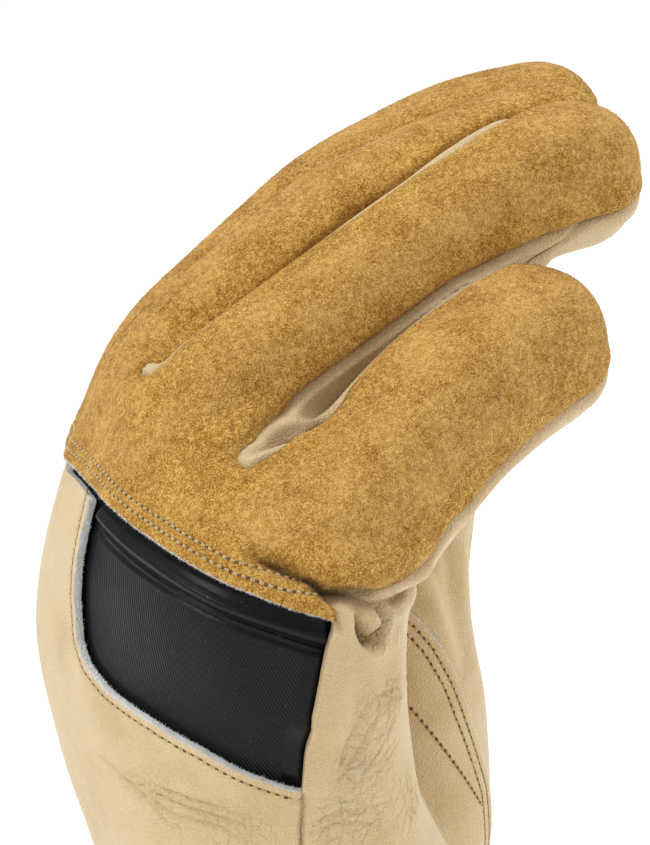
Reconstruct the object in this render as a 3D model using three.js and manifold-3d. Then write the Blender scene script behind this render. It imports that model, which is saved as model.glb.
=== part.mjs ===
// A right-hand leather driver glove in the curled shape that a hand inside gives it.
// Millimetres, +Z up from the cuff to the knuckles, +X out of the palm, +Y from the little finger
// to the index finger. The origin is the centre of the cuff opening.
import Module from "manifold-3d";
import * as THREE from "three";
import { LoftGeometry } from "three/addons/geometries/LoftGeometry.js";
import { mergeVertices } from "three/addons/utils/BufferGeometryUtils.js";

const wasm = await Module();
wasm.setup();

// Thickness of each material, and the gap between pieces
const WALL = 1.5;
const PATCH_THICK = 1.2;
const STRAP_THICK = 1.6;
const GAP = 0.3;

// Facets round a finger and round the hand
const DIGIT_POINTS = 14;
const BODY_POINTS = 24;
const FINGER_POWER = 2.4;
const HAND_POWER = 2.3;

// Each finger: the centre of its knuckle, its sideways splay and lean in degrees, the lengths of its
// three bones, its direction before the knuckle and after each joint in degrees from +Z towards the
// palm, and its width and depth at the knuckle and at the tip.
const DIGITS = {
  little: {
    knuckle: [-8.4, -33.6, 143.9],
    splay: -1.7,
    lean: 14.7,
    reach: [32.1, 20.3, 19.5],
    bend: [15, 55.4, 70.4, 81.4],
    width: [26.6, 25.2],
    depth: [29, 26.4],
  },
  ring: {
    knuckle: [-17.2, -8.9, 161.3],
    splay: -0.4,
    lean: 5.3,
    reach: [46, 29.5, 23],
    bend: [12, 65.8, 65.2, 86],
    width: [21.2, 20.6],
    depth: [26, 23.4],
  },
  middle: {
    knuckle: [-13.5, 12.6, 160.8],
    splay: 0.3,
    lean: -0.3,
    reach: [43.1, 29.8, 26.5],
    bend: [12, 57.2, 74.9, 80.3],
    width: [20.4, 19.8],
    depth: [27, 24.4],
  },
  index: {
    knuckle: [-1.6, 33.6, 156.8],
    splay: 2.6,
    lean: -2.5,
    reach: [42.4, 27.1, 26],
    bend: [12, 55.7, 66.5, 83.4],
    width: [20.4, 19.8],
    depth: [26.4, 23.8],
  },
};
// Lengths along a finger from its knuckle: where its form starts, the close sections round the knuckle,
// the length of its round tip, the shares of that tip that have sections, and half a joint's curve.
const DIGIT_START = -26;
const KNUCKLE_STATIONS = [-9, -2, 4, 10];
const KNUCKLE_END = 19;
const DIGIT_STEPS = 4;
const TIP_ROUND = 13;
const TIP_STATIONS = [0.5, 0.8, 0.97];
const TIP_POWER = 2.4;
const JOINT_SPREAD = 11;
// How far the hollow of a finger starts before its form does, and how far the hand's runs out of the cuff.
const HOLLOW_START = 5;
const CUFF_CUT = 3;

// Sections of the cuff and hand: height, centre, twist of the width towards the palm, tilt in degrees,
// half width, and depth behind and in front of the centre.
const BODY = [
  { z: 0, x: 0, y: 0, skew: 0.1, bend: 0, half: 44, back: 34, front: 34 },
  { z: 30, x: 0, y: 0, skew: 0.1, bend: 0, half: 42, back: 30, front: 36 },
  { z: 58, x: 0, y: 0, skew: 0.12, bend: 0, half: 41, back: 28, front: 37 },
  { z: 77, x: -1, y: 0, skew: 0.12, bend: 0, half: 44, back: 32, front: 32 },
  { z: 95, x: -3, y: 0, skew: 0.1, bend: 0, half: 46, back: 35, front: 25 },
  { z: 118, x: -7, y: 0, skew: 0.1, bend: 0, half: 48, back: 35, front: 23 },
  { z: 138, x: -10, y: 0, skew: 0.18, bend: 8, half: 47, back: 28, front: 24 },
  { z: 150, x: -9, y: 2, skew: 0.2, bend: 18, half: 43, back: 20, front: 22 },
  { z: 159, x: -5, y: 6, skew: 0.2, bend: 30, half: 36, back: 12, front: 17 },
  { z: 163, x: -1, y: 8, skew: 0.2, bend: 35, half: 29, back: 6, front: 9 },
];

// Sections of the thumb from inside the wrist to its tip.
const THUMB = [
  { at: [16, 18, 34], half: 15, depth: 13 },
  { at: [31, 22, 58], half: 18, depth: 18 },
  { at: [38, 25, 82], half: 19, depth: 19 },
  { at: [41, 26, 106], half: 17, depth: 16 },
  { at: [43, 25, 128], half: 15, depth: 14 },
  { at: [44, 23, 146], half: 13.5, depth: 12.5 },
  { at: [44, 21, 157], half: 11, depth: 10 },
  { at: [44, 20, 164], half: 5, depth: 5 },
];
const THUMB_STEPS = 10;
// The way that the thumb's palm side faces.
const THUMB_FACE = [-0.6, 0.8, 0];

// The suede's lower edge is the line z = height + slope * x round the hand.
const SUEDE_EDGE = { height: 134.2, slope: -0.4 };
// The seam between hand back and palm, x = middle + slope * y.
const SIDE_SEAM = { middle: -14.2, slope: 0.0944 };
// The strap's window, across and up the hand back, seen from 40 degrees round towards the little finger.
const WINDOW = {
  turn: 40,
  left: -28.5,
  corner: 9,
  foot: { left: 117, middle: [4, 113], right: [20.7, 106.6] },
  right: 38,
  top: 152,
};
const STRAP_TUCK = 4.5;
// The space that the suede covers: how far it reaches over the fingers' middles and past the outer ones,
// where the knuckles' part of it starts and ends, where the fingers' parts start and how far past the tips
// and the sides they reach, and how far they stand off each finger.
const SUEDE = { over: 24, wide: 9, from: -32, to: 2, bar: -12, past: 4, side: 2, skin: 0.2, steps: 8 };
// Webs between the fingers: where each starts and ends along them, and its lowest and highest points.
const WEB = { from: -10, crotch: 13, low: -10, high: 2 };
// Gussets: how far each reaches down and up the fingers' sides, where it starts, how far short of the
// tips it ends, the share of the half width that it leaves free, and how many gaps wide its end gap is.
const GUSSET = { low: -7.5, top: 14, start: -1, short: 9, inner: 0.3, end: 5, steps: 7 };
// The palm patch's outline on the palm, across and up, and how far back in the palm it starts.
const PATCH = [
  [-27, 66],
  [13, 66],
  [12, 77],
  [8, 92],
  [8, 104],
  [0, 120],
  [-14, 128],
  [-27, 122],
];
const PATCH_BACK = 4;

const rad = THREE.MathUtils.degToRad;
const { lerp, smoothstep } = THREE.MathUtils;

// A closed solid from a closed geometry.
function solid(geometry) {
  const bare = new THREE.BufferGeometry();
  bare.setAttribute("position", geometry.getAttribute("position"));
  bare.setIndex(geometry.index);
  const merged = mergeVertices(bare, 1e-4);
  return new wasm.Manifold(
    new wasm.Mesh({
      numProp: 3,
      vertProperties: new Float32Array(merged.attributes.position.array),
      triVerts: new Uint32Array(merged.index.array),
    }),
  );
}

// The triangles of the largest body of a mesh, without the crumbs that a cut leaves. Triangles with
// a common edge are one body.
function largestBody(index) {
  const faces = Array.from({ length: index.length / 3 }, (_, i) => [...index.slice(3 * i, 3 * i + 3)]);
  const owner = faces.map((_, i) => i);
  const find = (i) => {
    while (owner[i] !== i) i = owner[i] = owner[owner[i]];
    return i;
  };
  const edges = new Map();
  faces.forEach((face, i) =>
    face.forEach((corner, j) => {
      const next = face[(j + 1) % 3];
      const edge = `${Math.min(corner, next)} ${Math.max(corner, next)}`;
      if (edges.has(edge)) owner[find(i)] = find(edges.get(edge));
      else edges.set(edge, i);
    }),
  );
  const bodies = Map.groupBy(faces, (_, i) => find(i));
  return [...bodies.values()].sort((one, two) => two.length - one.length)[0].flat();
}

function geometryOf(manifold) {
  const mesh = manifold.getMesh();
  const cut = new THREE.BufferGeometry();
  cut.setAttribute("position", new THREE.BufferAttribute(mesh.vertProperties, 3));
  cut.setIndex(largestBody(mesh.triVerts));
  cut.computeVertexNormals();
  return cut;
}

const union = (solids) => solids.reduce((a, b) => a.add(b));

// A solid through rings of points, each ring running the same way round.
function loft(rings) {
  return solid(new LoftGeometry(rings, { capStart: true, capEnd: true }));
}

// Points round a rounded oval with half sizes of 1.
function superellipse(points, power) {
  return Array.from({ length: points }, (_, i) => {
    const c = Math.cos((2 * Math.PI * i) / points);
    const s = Math.sin((2 * Math.PI * i) / points);
    return [Math.sign(c) * Math.abs(c) ** (2 / power), Math.sign(s) * Math.abs(s) ** (2 / power)];
  });
}

// The direction of a finger, in radians from +Z towards the palm, at a length along it.
function bendAt(digit, s) {
  const joints = [0, digit.reach[0], digit.reach[0] + digit.reach[1]];
  const steps = joints.map(
    (at, i) => (digit.bend[i + 1] - digit.bend[i]) * smoothstep(s, at - JOINT_SPREAD, at + JOINT_SPREAD),
  );
  return rad(digit.bend[0] + steps.reduce((a, b) => a + b));
}

const lengthOf = (digit) => digit.reach.reduce((a, b) => a + b);

// The centre of a finger at a length along it, with its sideways and backward directions.
function frameAt(digit, s) {
  const up = new THREE.Vector3(0, Math.sin(rad(digit.splay)), Math.cos(rad(digit.splay)));
  const out = new THREE.Vector3(Math.cos(rad(digit.lean)), Math.sin(rad(digit.lean)), 0);
  const side = new THREE.Vector3().crossVectors(up, out).normalize();
  const centre = new THREE.Vector3(...digit.knuckle);
  const pieces = Math.max(1, Math.ceil(Math.abs(s)));
  for (let i = 0; i < pieces; i++) {
    const angle = bendAt(digit, (s * (i + 0.5)) / pieces);
    centre.addScaledVector(up, (Math.cos(angle) * s) / pieces);
    centre.addScaledVector(out, (Math.sin(angle) * s) / pieces);
  }
  const angle = bendAt(digit, s);
  const back = up.multiplyScalar(Math.sin(angle)).addScaledVector(out, -Math.cos(angle));
  return { centre, side, back };
}

// Half the width and half the depth of a finger at a length along it.
function halfSize(digit, s) {
  const t = Math.max(0, s / lengthOf(digit));
  return {
    w: lerp(digit.width[0], digit.width[1], t) / 2,
    h: lerp(digit.depth[0], digit.depth[1], t) / 2,
  };
}

const stationsBetween = (from, to, count) =>
  Array.from({ length: count + 1 }, (_, i) => lerp(from, to, i / count));

// The point at a sideways and a backward distance from a frame's centre.
const place = ({ centre, side, back }, l, d) =>
  centre.clone().addScaledVector(side, l).addScaledVector(back, d);

// A finger, grown or shrunk by an offset, with its start drawn back.
function digitForm(digit, offset, early = 0) {
  const shoulder = lengthOf(digit) - TIP_ROUND;
  const round = TIP_ROUND + offset;
  const stations = [
    DIGIT_START - early,
    ...KNUCKLE_STATIONS,
    ...stationsBetween(KNUCKLE_END, shoulder, DIGIT_STEPS),
    ...TIP_STATIONS.map((t) => shoulder + round * t),
  ];
  const rings = stations.map((s) => {
    const frame = frameAt(digit, s);
    const { w, h } = halfSize(digit, s);
    const t = Math.max(0, (s - shoulder) / round);
    const close = Math.sqrt(1 - t ** TIP_POWER);
    return superellipse(DIGIT_POINTS, FINGER_POWER).map(([l, d]) =>
      place(frame, l * (w * close + offset), d * (h * close + offset)),
    );
  });
  return loft(rings);
}

// The cuff and hand, grown or shrunk by an offset.
function bodyForm(offset, rows = BODY) {
  const rings = rows.map((row) => {
    const frame = {
      centre: new THREE.Vector3(row.x, row.y, row.z),
      side: new THREE.Vector3(row.skew, 1, 0),
      back: new THREE.Vector3(-Math.cos(rad(row.bend)), 0, Math.sin(rad(row.bend))),
    };
    return superellipse(BODY_POINTS, HAND_POWER).map(([l, d]) =>
      place(frame, l * (row.half + offset), d * ((d > 0 ? row.back : row.front) + offset)),
    );
  });
  return loft(rings);
}

// The thumb, grown or shrunk by an offset.
function thumbForm(offset) {
  const curve = new THREE.CatmullRomCurve3(THUMB.map((row) => new THREE.Vector3(...row.at)));
  const rings = Array.from({ length: THUMB_STEPS + 1 }, (_, i) => {
    const t = i / THUMB_STEPS;
    const along = curve.getTangent(t);
    const side = new THREE.Vector3(...THUMB_FACE).cross(along).cross(along).negate().normalize();
    const back = new THREE.Vector3().crossVectors(side, along).negate().normalize();
    const k = Math.min(THUMB.length - 2, Math.floor(t * (THUMB.length - 1)));
    const f = t * (THUMB.length - 1) - k;
    const w = lerp(THUMB[k].half, THUMB[k + 1].half, f) + offset;
    const h = lerp(THUMB[k].depth, THUMB[k + 1].depth, f) + offset;
    return superellipse(DIGIT_POINTS, HAND_POWER).map(([l, d]) =>
      place({ centre: curve.getPoint(t), side, back }, l * w, d * h),
    );
  });
  return loft(rings);
}

const digits = Object.values(DIGITS);

// The space over the middles of all four fingers, and over the knuckles between them.
function dorsalSpace(low) {
  const bars = digits.map((digit) => {
    const stations = stationsBetween(SUEDE.bar, lengthOf(digit) + SUEDE.past, SUEDE.steps);
    const rings = stations.map((s) => {
      const frame = frameAt(digit, s);
      const wide = halfSize(digit, s).w + SUEDE.side;
      return [
        place(frame, -wide, low),
        place(frame, wide, low),
        place(frame, wide, SUEDE.over),
        place(frame, -wide, SUEDE.over),
      ];
    });
    return loft(rings).intersect(digitForm(digit, SUEDE.skin));
  });
  const rings = stationsBetween(SUEDE.from, SUEDE.to, 3).map((s) => {
    const frames = digits.map((digit) => frameAt(digit, s));
    const reach = halfSize(digits[0], s).w + SUEDE.wide;
    const row = (d) => [
      place(frames[0], -reach, d),
      ...frames.map((frame) => place(frame, 0, d)),
      place(frames[3], reach, d),
    ];
    return [...row(low), ...row(SUEDE.over).reverse()];
  });
  return union([loft(rings), ...bars]);
}

// The web that joins two fingers at their crotch, from the middle of one to the middle of the other.
function webForm(a, b, offset) {
  const low = WEB.low - offset;
  const high = WEB.high + offset;
  const rings = stationsBetween(WEB.from, WEB.crotch + offset, 2).map((s) => {
    const fa = frameAt(a, s);
    const fb = frameAt(b, s);
    return [place(fa, 0, low), place(fb, 0, low), place(fb, 0, high), place(fa, 0, high)];
  });
  return loft(rings);
}

// The space of a gusset, from the facing side of one finger across to the facing side of the next.
function gussetSpace(a, b, extra) {
  const low = GUSSET.low - extra;
  const top = GUSSET.top + extra;
  const rings = stationsBetween(0, 1, GUSSET.steps).map((t) => {
    const edge = (digit, sign, d) => {
      const s = lerp(GUSSET.start, lengthOf(digit) - GUSSET.short, t) + (t === 1 ? GUSSET.end * extra : 0);
      return place(frameAt(digit, s), sign * (halfSize(digit, s).w * GUSSET.inner - extra), d);
    };
    return [edge(a, 1, low), edge(b, -1, low), edge(b, -1, top), edge(a, 1, top)];
  });
  return loft(rings);
}

// A prism of an outline drawn in two directions, standing square to both.
function prism(points, across, up, origin, depth) {
  const outline = new THREE.Shape(points.map(([a, b]) => new THREE.Vector2(a, b)));
  const geometry = new THREE.ExtrudeGeometry(outline, { depth, bevelEnabled: false });
  const square = new THREE.Vector3().crossVectors(across, up);
  geometry.applyMatrix4(new THREE.Matrix4().makeBasis(across, up, square).setPosition(...origin));
  return solid(geometry);
}

const FAR = 75;
const X = new THREE.Vector3(1, 0, 0);
const Y = new THREE.Vector3(0, 1, 0);
const Z = new THREE.Vector3(0, 0, 1);

// Everything below the suede's lower edge.
function belowEdge(shift) {
  const level = (x) => SUEDE_EDGE.height + SUEDE_EDGE.slope * x + shift;
  const outline = [
    [-FAR, -FAR],
    [FAR, -FAR],
    [FAR, level(FAR)],
    [-FAR, level(-FAR)],
  ];
  return prism(outline, X, Z, [0, FAR, 0], 2 * FAR);
}

// Everything behind the side seam.
function behindSeam(shift) {
  const line = (y) => SIDE_SEAM.middle + SIDE_SEAM.slope * y + shift;
  const outline = [
    [-FAR, -FAR],
    [line(-FAR), -FAR],
    [line(FAR), FAR],
    [-FAR, FAR],
  ];
  return prism(outline, X, Y, [0, 0, -FAR], 4 * FAR);
}

// The strap's window, grown at its left and its foot.
function windowSpace(grow) {
  const turn = rad(WINDOW.turn);
  const across = new THREE.Vector3(Math.sin(turn), -Math.cos(turn), 0);
  const { left, corner, foot, right, top } = WINDOW;
  const arc = stationsBetween(0, 90, 3).map((degrees) => [
    left - grow + corner * (1 - Math.cos(rad(degrees))),
    foot.left - grow + corner * (1 - Math.sin(rad(degrees))),
  ]);
  const outline = [
    [left - grow, top],
    ...arc,
    [foot.middle[0], foot.middle[1] - grow],
    [foot.right[0], foot.right[1] - grow],
    [right, foot.right[1] - grow],
    [right, top],
  ];
  return prism(outline, across, Z, [0, 0, 0], FAR);
}

// The whole outer form, less the whole hollow, is one shell of leather.
const gussetPairs = [
  ["fourchette_little_ring", DIGITS.little, DIGITS.ring],
  ["fourchette_ring_middle", DIGITS.ring, DIGITS.middle],
  ["fourchette_middle_index", DIGITS.middle, DIGITS.index],
];
const bodyOuter = bodyForm(0);
const thumbOuter = thumbForm(0);
const outer = union([
  bodyOuter,
  thumbOuter,
  ...digits.map((digit) => digitForm(digit, 0)),
  ...gussetPairs.map(([, a, b]) => webForm(a, b, 0)),
]);
const mouth = [{ ...BODY[0], z: -CUFF_CUT }, ...BODY];
const inner = union([
  bodyForm(-WALL, mouth),
  thumbForm(-WALL),
  ...digits.map((digit) => digitForm(digit, -WALL, HOLLOW_START)),
  ...gussetPairs.map(([, a, b]) => webForm(a, b, -WALL)),
]);
const shell = outer.subtract(inner);

// The thumb is what stands outside the hand, and the hand stops short of it.
const thumb = thumbOuter.subtract(inner).subtract(bodyForm(GAP));
const hand = shell.subtract(thumbForm(GAP).subtract(bodyOuter));

// The suede covers the fingers' backs and the knuckles.
const suede = hand.intersect(dorsalSpace(GAP / 2)).subtract(belowEdge(GAP / 2));
const lower = hand.subtract(dorsalSpace(-GAP / 2).subtract(belowEdge(-GAP / 2)));

// Gussets, hand back and palm share the rest.
const gussets = gussetPairs.map(([, a, b]) => lower.intersect(gussetSpace(a, b, 0)));
const gussetCuts = union(gussetPairs.map(([, a, b]) => gussetSpace(a, b, GAP)));
const backSpace = (shift) => behindSeam(shift).intersect(belowEdge(shift));
const handBack = lower.intersect(backSpace(-GAP / 2)).subtract(windowSpace(0));
const palm = lower.subtract(gussetCuts).subtract(backSpace(GAP / 2));

// The strap lies under the window's edges, inside the leather.
const strap = bodyForm(-WALL - GAP)
  .subtract(bodyForm(-WALL - GAP - STRAP_THICK))
  .intersect(windowSpace(STRAP_TUCK))
  .intersect(behindSeam(STRAP_TUCK / 2))
  .intersect(belowEdge(STRAP_TUCK));

// The patch lies on the palm and on the thumb's side.
const patch = union([bodyForm(GAP + PATCH_THICK), thumbForm(GAP + PATCH_THICK)])
  .subtract(union([bodyForm(GAP), thumbForm(GAP)]))
  .intersect(prism(PATCH, Y, Z, [PATCH_BACK, 0, 0], FAR));

const suedeLook = new THREE.MeshStandardMaterial({ color: 0xc89b50, roughness: 0.95, metalness: 0 });
const leatherLook = new THREE.MeshStandardMaterial({ color: 0xe1c896, roughness: 0.6, metalness: 0 });
const rubberLook = new THREE.MeshStandardMaterial({ color: 0x28282d, roughness: 0.5, metalness: 0 });

const glove = new THREE.Group();

function addPiece(name, manifold, material) {
  const mesh = new THREE.Mesh(geometryOf(manifold), material);
  mesh.name = name;
  glove.add(mesh);
}

addPiece("back_suede", suede, suedeLook);
gussetPairs.forEach(([name], i) => addPiece(name, gussets[i], leatherLook));
addPiece("palm", palm, leatherLook);
addPiece("hand_back", handBack, leatherLook);
addPiece("knuckle_strap", strap, rubberLook);
addPiece("thumb", thumb, leatherLook);
addPiece("palm_patch", patch, leatherLook);

export default glove;
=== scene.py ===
"""The looks of a right-hand leather driver glove in the curled shape that a hand inside gives it.

Lengths inside this file are in millimetres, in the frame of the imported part: +Z up from the cuff,
+X out of the palm, +Y from the little finger to the index finger. Blender's meshes get metres.
"""

from __future__ import annotations

import logging
import math
from dataclasses import dataclass
from enum import Enum

import bpy
import numpy as np
import openvdb as vdb
from mathutils import Matrix, Vector

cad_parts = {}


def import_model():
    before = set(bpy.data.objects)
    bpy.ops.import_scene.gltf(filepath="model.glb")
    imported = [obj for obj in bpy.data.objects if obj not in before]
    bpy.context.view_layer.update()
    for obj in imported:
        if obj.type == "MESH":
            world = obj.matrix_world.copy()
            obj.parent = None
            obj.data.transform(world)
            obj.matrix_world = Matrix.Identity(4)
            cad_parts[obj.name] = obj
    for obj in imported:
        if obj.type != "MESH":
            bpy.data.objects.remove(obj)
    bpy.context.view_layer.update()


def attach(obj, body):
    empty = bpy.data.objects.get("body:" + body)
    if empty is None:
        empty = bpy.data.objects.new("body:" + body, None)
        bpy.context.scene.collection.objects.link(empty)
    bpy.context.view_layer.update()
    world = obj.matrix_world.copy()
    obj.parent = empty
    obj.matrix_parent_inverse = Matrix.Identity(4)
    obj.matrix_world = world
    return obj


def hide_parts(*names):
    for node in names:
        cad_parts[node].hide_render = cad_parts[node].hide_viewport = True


Array = np.ndarray
Colour = tuple[float, float, float]
LOG = logging.getLogger("glove")
# The step and the corners of the grid that the skin is made on
STEP = 0.88
BOX = ((-56, -60, -7), (98, 60, 218))
# A distance that stands for nowhere near
FAR = 60.0
# Points round a finger and round the hand, the hand's squareness, and how many sections are made
DIGIT_POINTS = 56
HAND_POINTS = 96
HAND_POWER = 2.3
HAND_SECTIONS = 130
THUMB_SECTIONS = 90
# The step at which a finger's middle line is worked out
FINE = 0.25
# How much the grid is blurred, in steps, and how often the mesh is evened out after it
BLUR = 0.9
EVEN_ROUNDS = 2
# Below this height nothing is refined, and folds wider than this get no painted shade in their colour
PLAIN_BELOW = 60.0
NARROW_FOLD = 1.8


def smooth(x: Array, start: float, end: float) -> Array:
    """A smooth step from 0 at start to 1 at end."""
    t = np.clip((x - start) / (end - start), 0.0, 1.0)
    return t * t * (3.0 - 2.0 * t)


def ridge(x: Array, centre: float, width: float) -> Array:
    """A bell of height 1 round a centre."""
    return np.exp(-(((x - centre) / width) ** 2))


def unit(v: Array) -> Array:
    """Vectors at length 1, along the last axis."""
    return v / np.maximum(np.linalg.norm(v, axis=-1, keepdims=True), 1e-12)


def superellipse(count: int, power: float) -> Array:
    """Points round a rounded oval with half sizes of 1.

    Args:
        count: the number of points.
        power: 2 for an ellipse, more for squarer corners.

    Returns:
        An array of count rows: sideways and backward.
    """
    a = np.linspace(0.0, 2.0 * math.pi, count, endpoint=False)
    c, s = np.cos(a), np.sin(a)
    return np.stack(
        [np.sign(c) * np.abs(c) ** (2 / power), np.sign(s) * np.abs(s) ** (2 / power)], 1
    )


def catmull(rows: Array, count: int) -> Array:
    """A smooth curve through rows of numbers.

    Args:
        rows: one row of numbers for each knot.
        count: how many samples to take.

    Returns:
        The samples, evenly spaced by knot.
    """
    u = np.linspace(0.0, len(rows) - 1.0, count)
    i = np.minimum(u.astype(int), len(rows) - 2)
    t = (u - i)[:, None]
    padded = np.concatenate([2 * rows[:1] - rows[1:2], rows, 2 * rows[-1:] - rows[-2:-1]])
    p0, p1, p2, p3 = (padded[i + k] for k in range(4))
    return 0.5 * (
        2 * p1 + (p2 - p0) * t + (2 * p0 - 5 * p1 + 4 * p2 - p3) * t**2
        + (3 * p1 - p0 - 3 * p2 + p3) * t**3
    )


def outline_distance(outline: tuple[tuple[float, float], ...], a: Array, b: Array) -> Array:
    """How far points lie inside a closed outline.

    Args:
        outline: its corners.
        a: each point's first coordinate.
        b: each point's second coordinate.

    Returns:
        The distance to the outline, above zero inside it.
    """
    corners = np.array(outline, float)
    best = np.full(len(a), np.inf)
    inside = np.zeros(len(a), bool)
    for (x0, y0), (x1, y1) in zip(corners, np.roll(corners, -1, 0)):
        dx, dy = x1 - x0, y1 - y0
        t = np.clip(((a - x0) * dx + (b - y0) * dy) / (dx * dx + dy * dy), 0.0, 1.0)
        best = np.minimum(best, np.hypot(a - x0 - t * dx, b - y0 - t * dy))
        if dy:
            crosses = ((y0 > b) != (y1 > b)) & (a < dx * (b - y0) / dy + x0)
            inside ^= crosses
    return np.where(inside, best, -best)


@dataclass(frozen=True)
class Stations:
    """Places along a finger: lengths, centres and the sideways, backward and forward directions."""

    s: Array
    centre: Array
    side: Array
    back: Array
    along: Array


@dataclass(frozen=True)
class Digit:
    """A finger: its knuckle's centre, splay and lean in degrees, bone lengths, directions and sizes.

    The suede reaches round it from the angle low to the angle high, each given in degrees at lengths
    along it, and the slots beside it start at the lengths crotch.
    """

    knuckle: tuple[float, float, float]
    splay: float
    lean: float
    reach: tuple[float, float, float]
    bend: tuple[float, float, float, float]
    width: tuple[float, float]
    depth: tuple[float, float]
    low: tuple[tuple[float, float], ...] = ((0, -95),)
    high: tuple[tuple[float, float], ...] = ((0, 95),)
    crotch: tuple[float | None, float | None] = (None, None)
    spread: float = 11.0
    tip: float = 13.0
    power: float = 2.4

    @property
    def length(self) -> float:
        """The length from the knuckle to the tip."""
        return sum(self.reach)

    def stations(self, s: Array) -> Stations:
        """Places along the finger at the given lengths from the knuckle.

        Args:
            s: lengths from the knuckle.

        Returns:
            The places.
        """
        fine = np.arange(-60.0, self.length + 1.0, FINE)
        angle = np.full(len(fine), float(self.bend[0]))
        at = 0.0
        for i, bone in enumerate((0.0, *self.reach[:2])):
            at += bone
            angle += (self.bend[i + 1] - self.bend[i]) * smooth(fine, at - self.spread, at + self.spread)
        angle = np.radians(angle)
        splay, lean = math.radians(self.splay), math.radians(self.lean)
        up = np.array([0.0, math.sin(splay), math.cos(splay)])
        out = np.array([math.cos(lean), math.sin(lean), 0.0])
        side = unit(np.cross(up, out))
        along = np.outer(np.cos(angle), up) + np.outer(np.sin(angle), out)
        path = np.concatenate([np.zeros((1, 3)), np.cumsum((along[1:] + along[:-1]) * (FINE / 2), 0)])
        path += np.array(self.knuckle) - path[np.searchsorted(fine, 0.0)]
        centre = np.stack([np.interp(s, fine, path[:, k]) for k in range(3)], 1)
        a = np.interp(s, fine, angle)
        along = np.outer(np.cos(a), up) + np.outer(np.sin(a), out)
        back = np.outer(np.sin(a), up) - np.outer(np.cos(a), out)
        return Stations(s, centre, np.tile(side, (len(s), 1)), back, along)

    def half(self, s: Array) -> tuple[Array, Array]:
        """Half the width and half the depth at lengths along the finger.

        Args:
            s: lengths from the knuckle.

        Returns:
            Half the width and half the depth at each length.
        """
        t = np.clip(s / self.length, 0.0, 1.0)
        w = self.width[0] + (self.width[1] - self.width[0]) * t
        d = self.depth[0] + (self.depth[1] - self.depth[0]) * t
        return w / 2, d / 2

    def rings(self, start: float = -26.0) -> Array:
        """The finger's sections, closed to a round tip.

        Args:
            start: the length of the first section.

        Returns:
            The points of each section.
        """
        shoulder = self.length - self.tip
        ends = shoulder + self.tip * np.sin(np.linspace(0.05, 0.985, 14) * math.pi / 2)
        s = np.concatenate([np.arange(start, shoulder, 2.0), ends])
        at = self.stations(s)
        w, d = self.half(s)
        t = np.maximum(0.0, (s - shoulder) / self.tip)
        close = np.sqrt(np.maximum(1.0 - t**self.power, 0.0))
        oval = superellipse(DIGIT_POINTS, self.power)
        return (
            at.centre[:, None]
            + at.side[:, None] * (oval[None, :, :1] * (w * close)[:, None, None])
            + at.back[:, None] * (oval[None, :, 1:] * (d * close)[:, None, None])
        )

    def locate(self, points: Array) -> tuple[Array, Array, Array]:
        """Where points lie on the finger.

        Args:
            points: positions, one row each.

        Returns:
            The length along it, the sideways and the backward distance of each point.
        """
        at = self.stations(np.arange(-50.0, self.length, 1.0))
        found = np.empty((len(points), 3))
        for start in range(0, len(points), 8192):
            p = points[start : start + 8192]
            gap = p[:, None] - at.centre[None]
            i = np.argmin((gap**2).sum(2), 1)
            q = p - at.centre[i]
            found[start : start + 8192, 0] = at.s[i] + (q * at.along[i]).sum(1)
            found[start : start + 8192, 1] = (q * at.side[i]).sum(1)
            found[start : start + 8192, 2] = (q * at.back[i]).sum(1)
        return found[:, 0], found[:, 1], found[:, 2]

    def cover(self, spot: tuple[Array, Array, Array], back: Array) -> Array:
        """How far points lie inside the suede.

        Args:
            spot: where the points lie on the finger.
            back: how far back they lie on the hand.

        Returns:
            About a distance, above zero on the suede.
        """
        s, l, d = spot
        angle = np.degrees(np.arctan2(l, d))
        w, h = self.half(s)
        sides = []
        for knots, sign, start in ((self.low, 1.0, self.crotch[0]), (self.high, -1.0, self.crotch[1])):
            at, limit = zip(*knots)
            value = np.radians(sign * (angle - np.interp(s, at, limit))) * (w + h) / 2
            if start is not None:
                value = -joined(-value, -np.minimum(start - s, back), 3.0)
            sides.append(value)
        return np.minimum(*sides)


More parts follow.
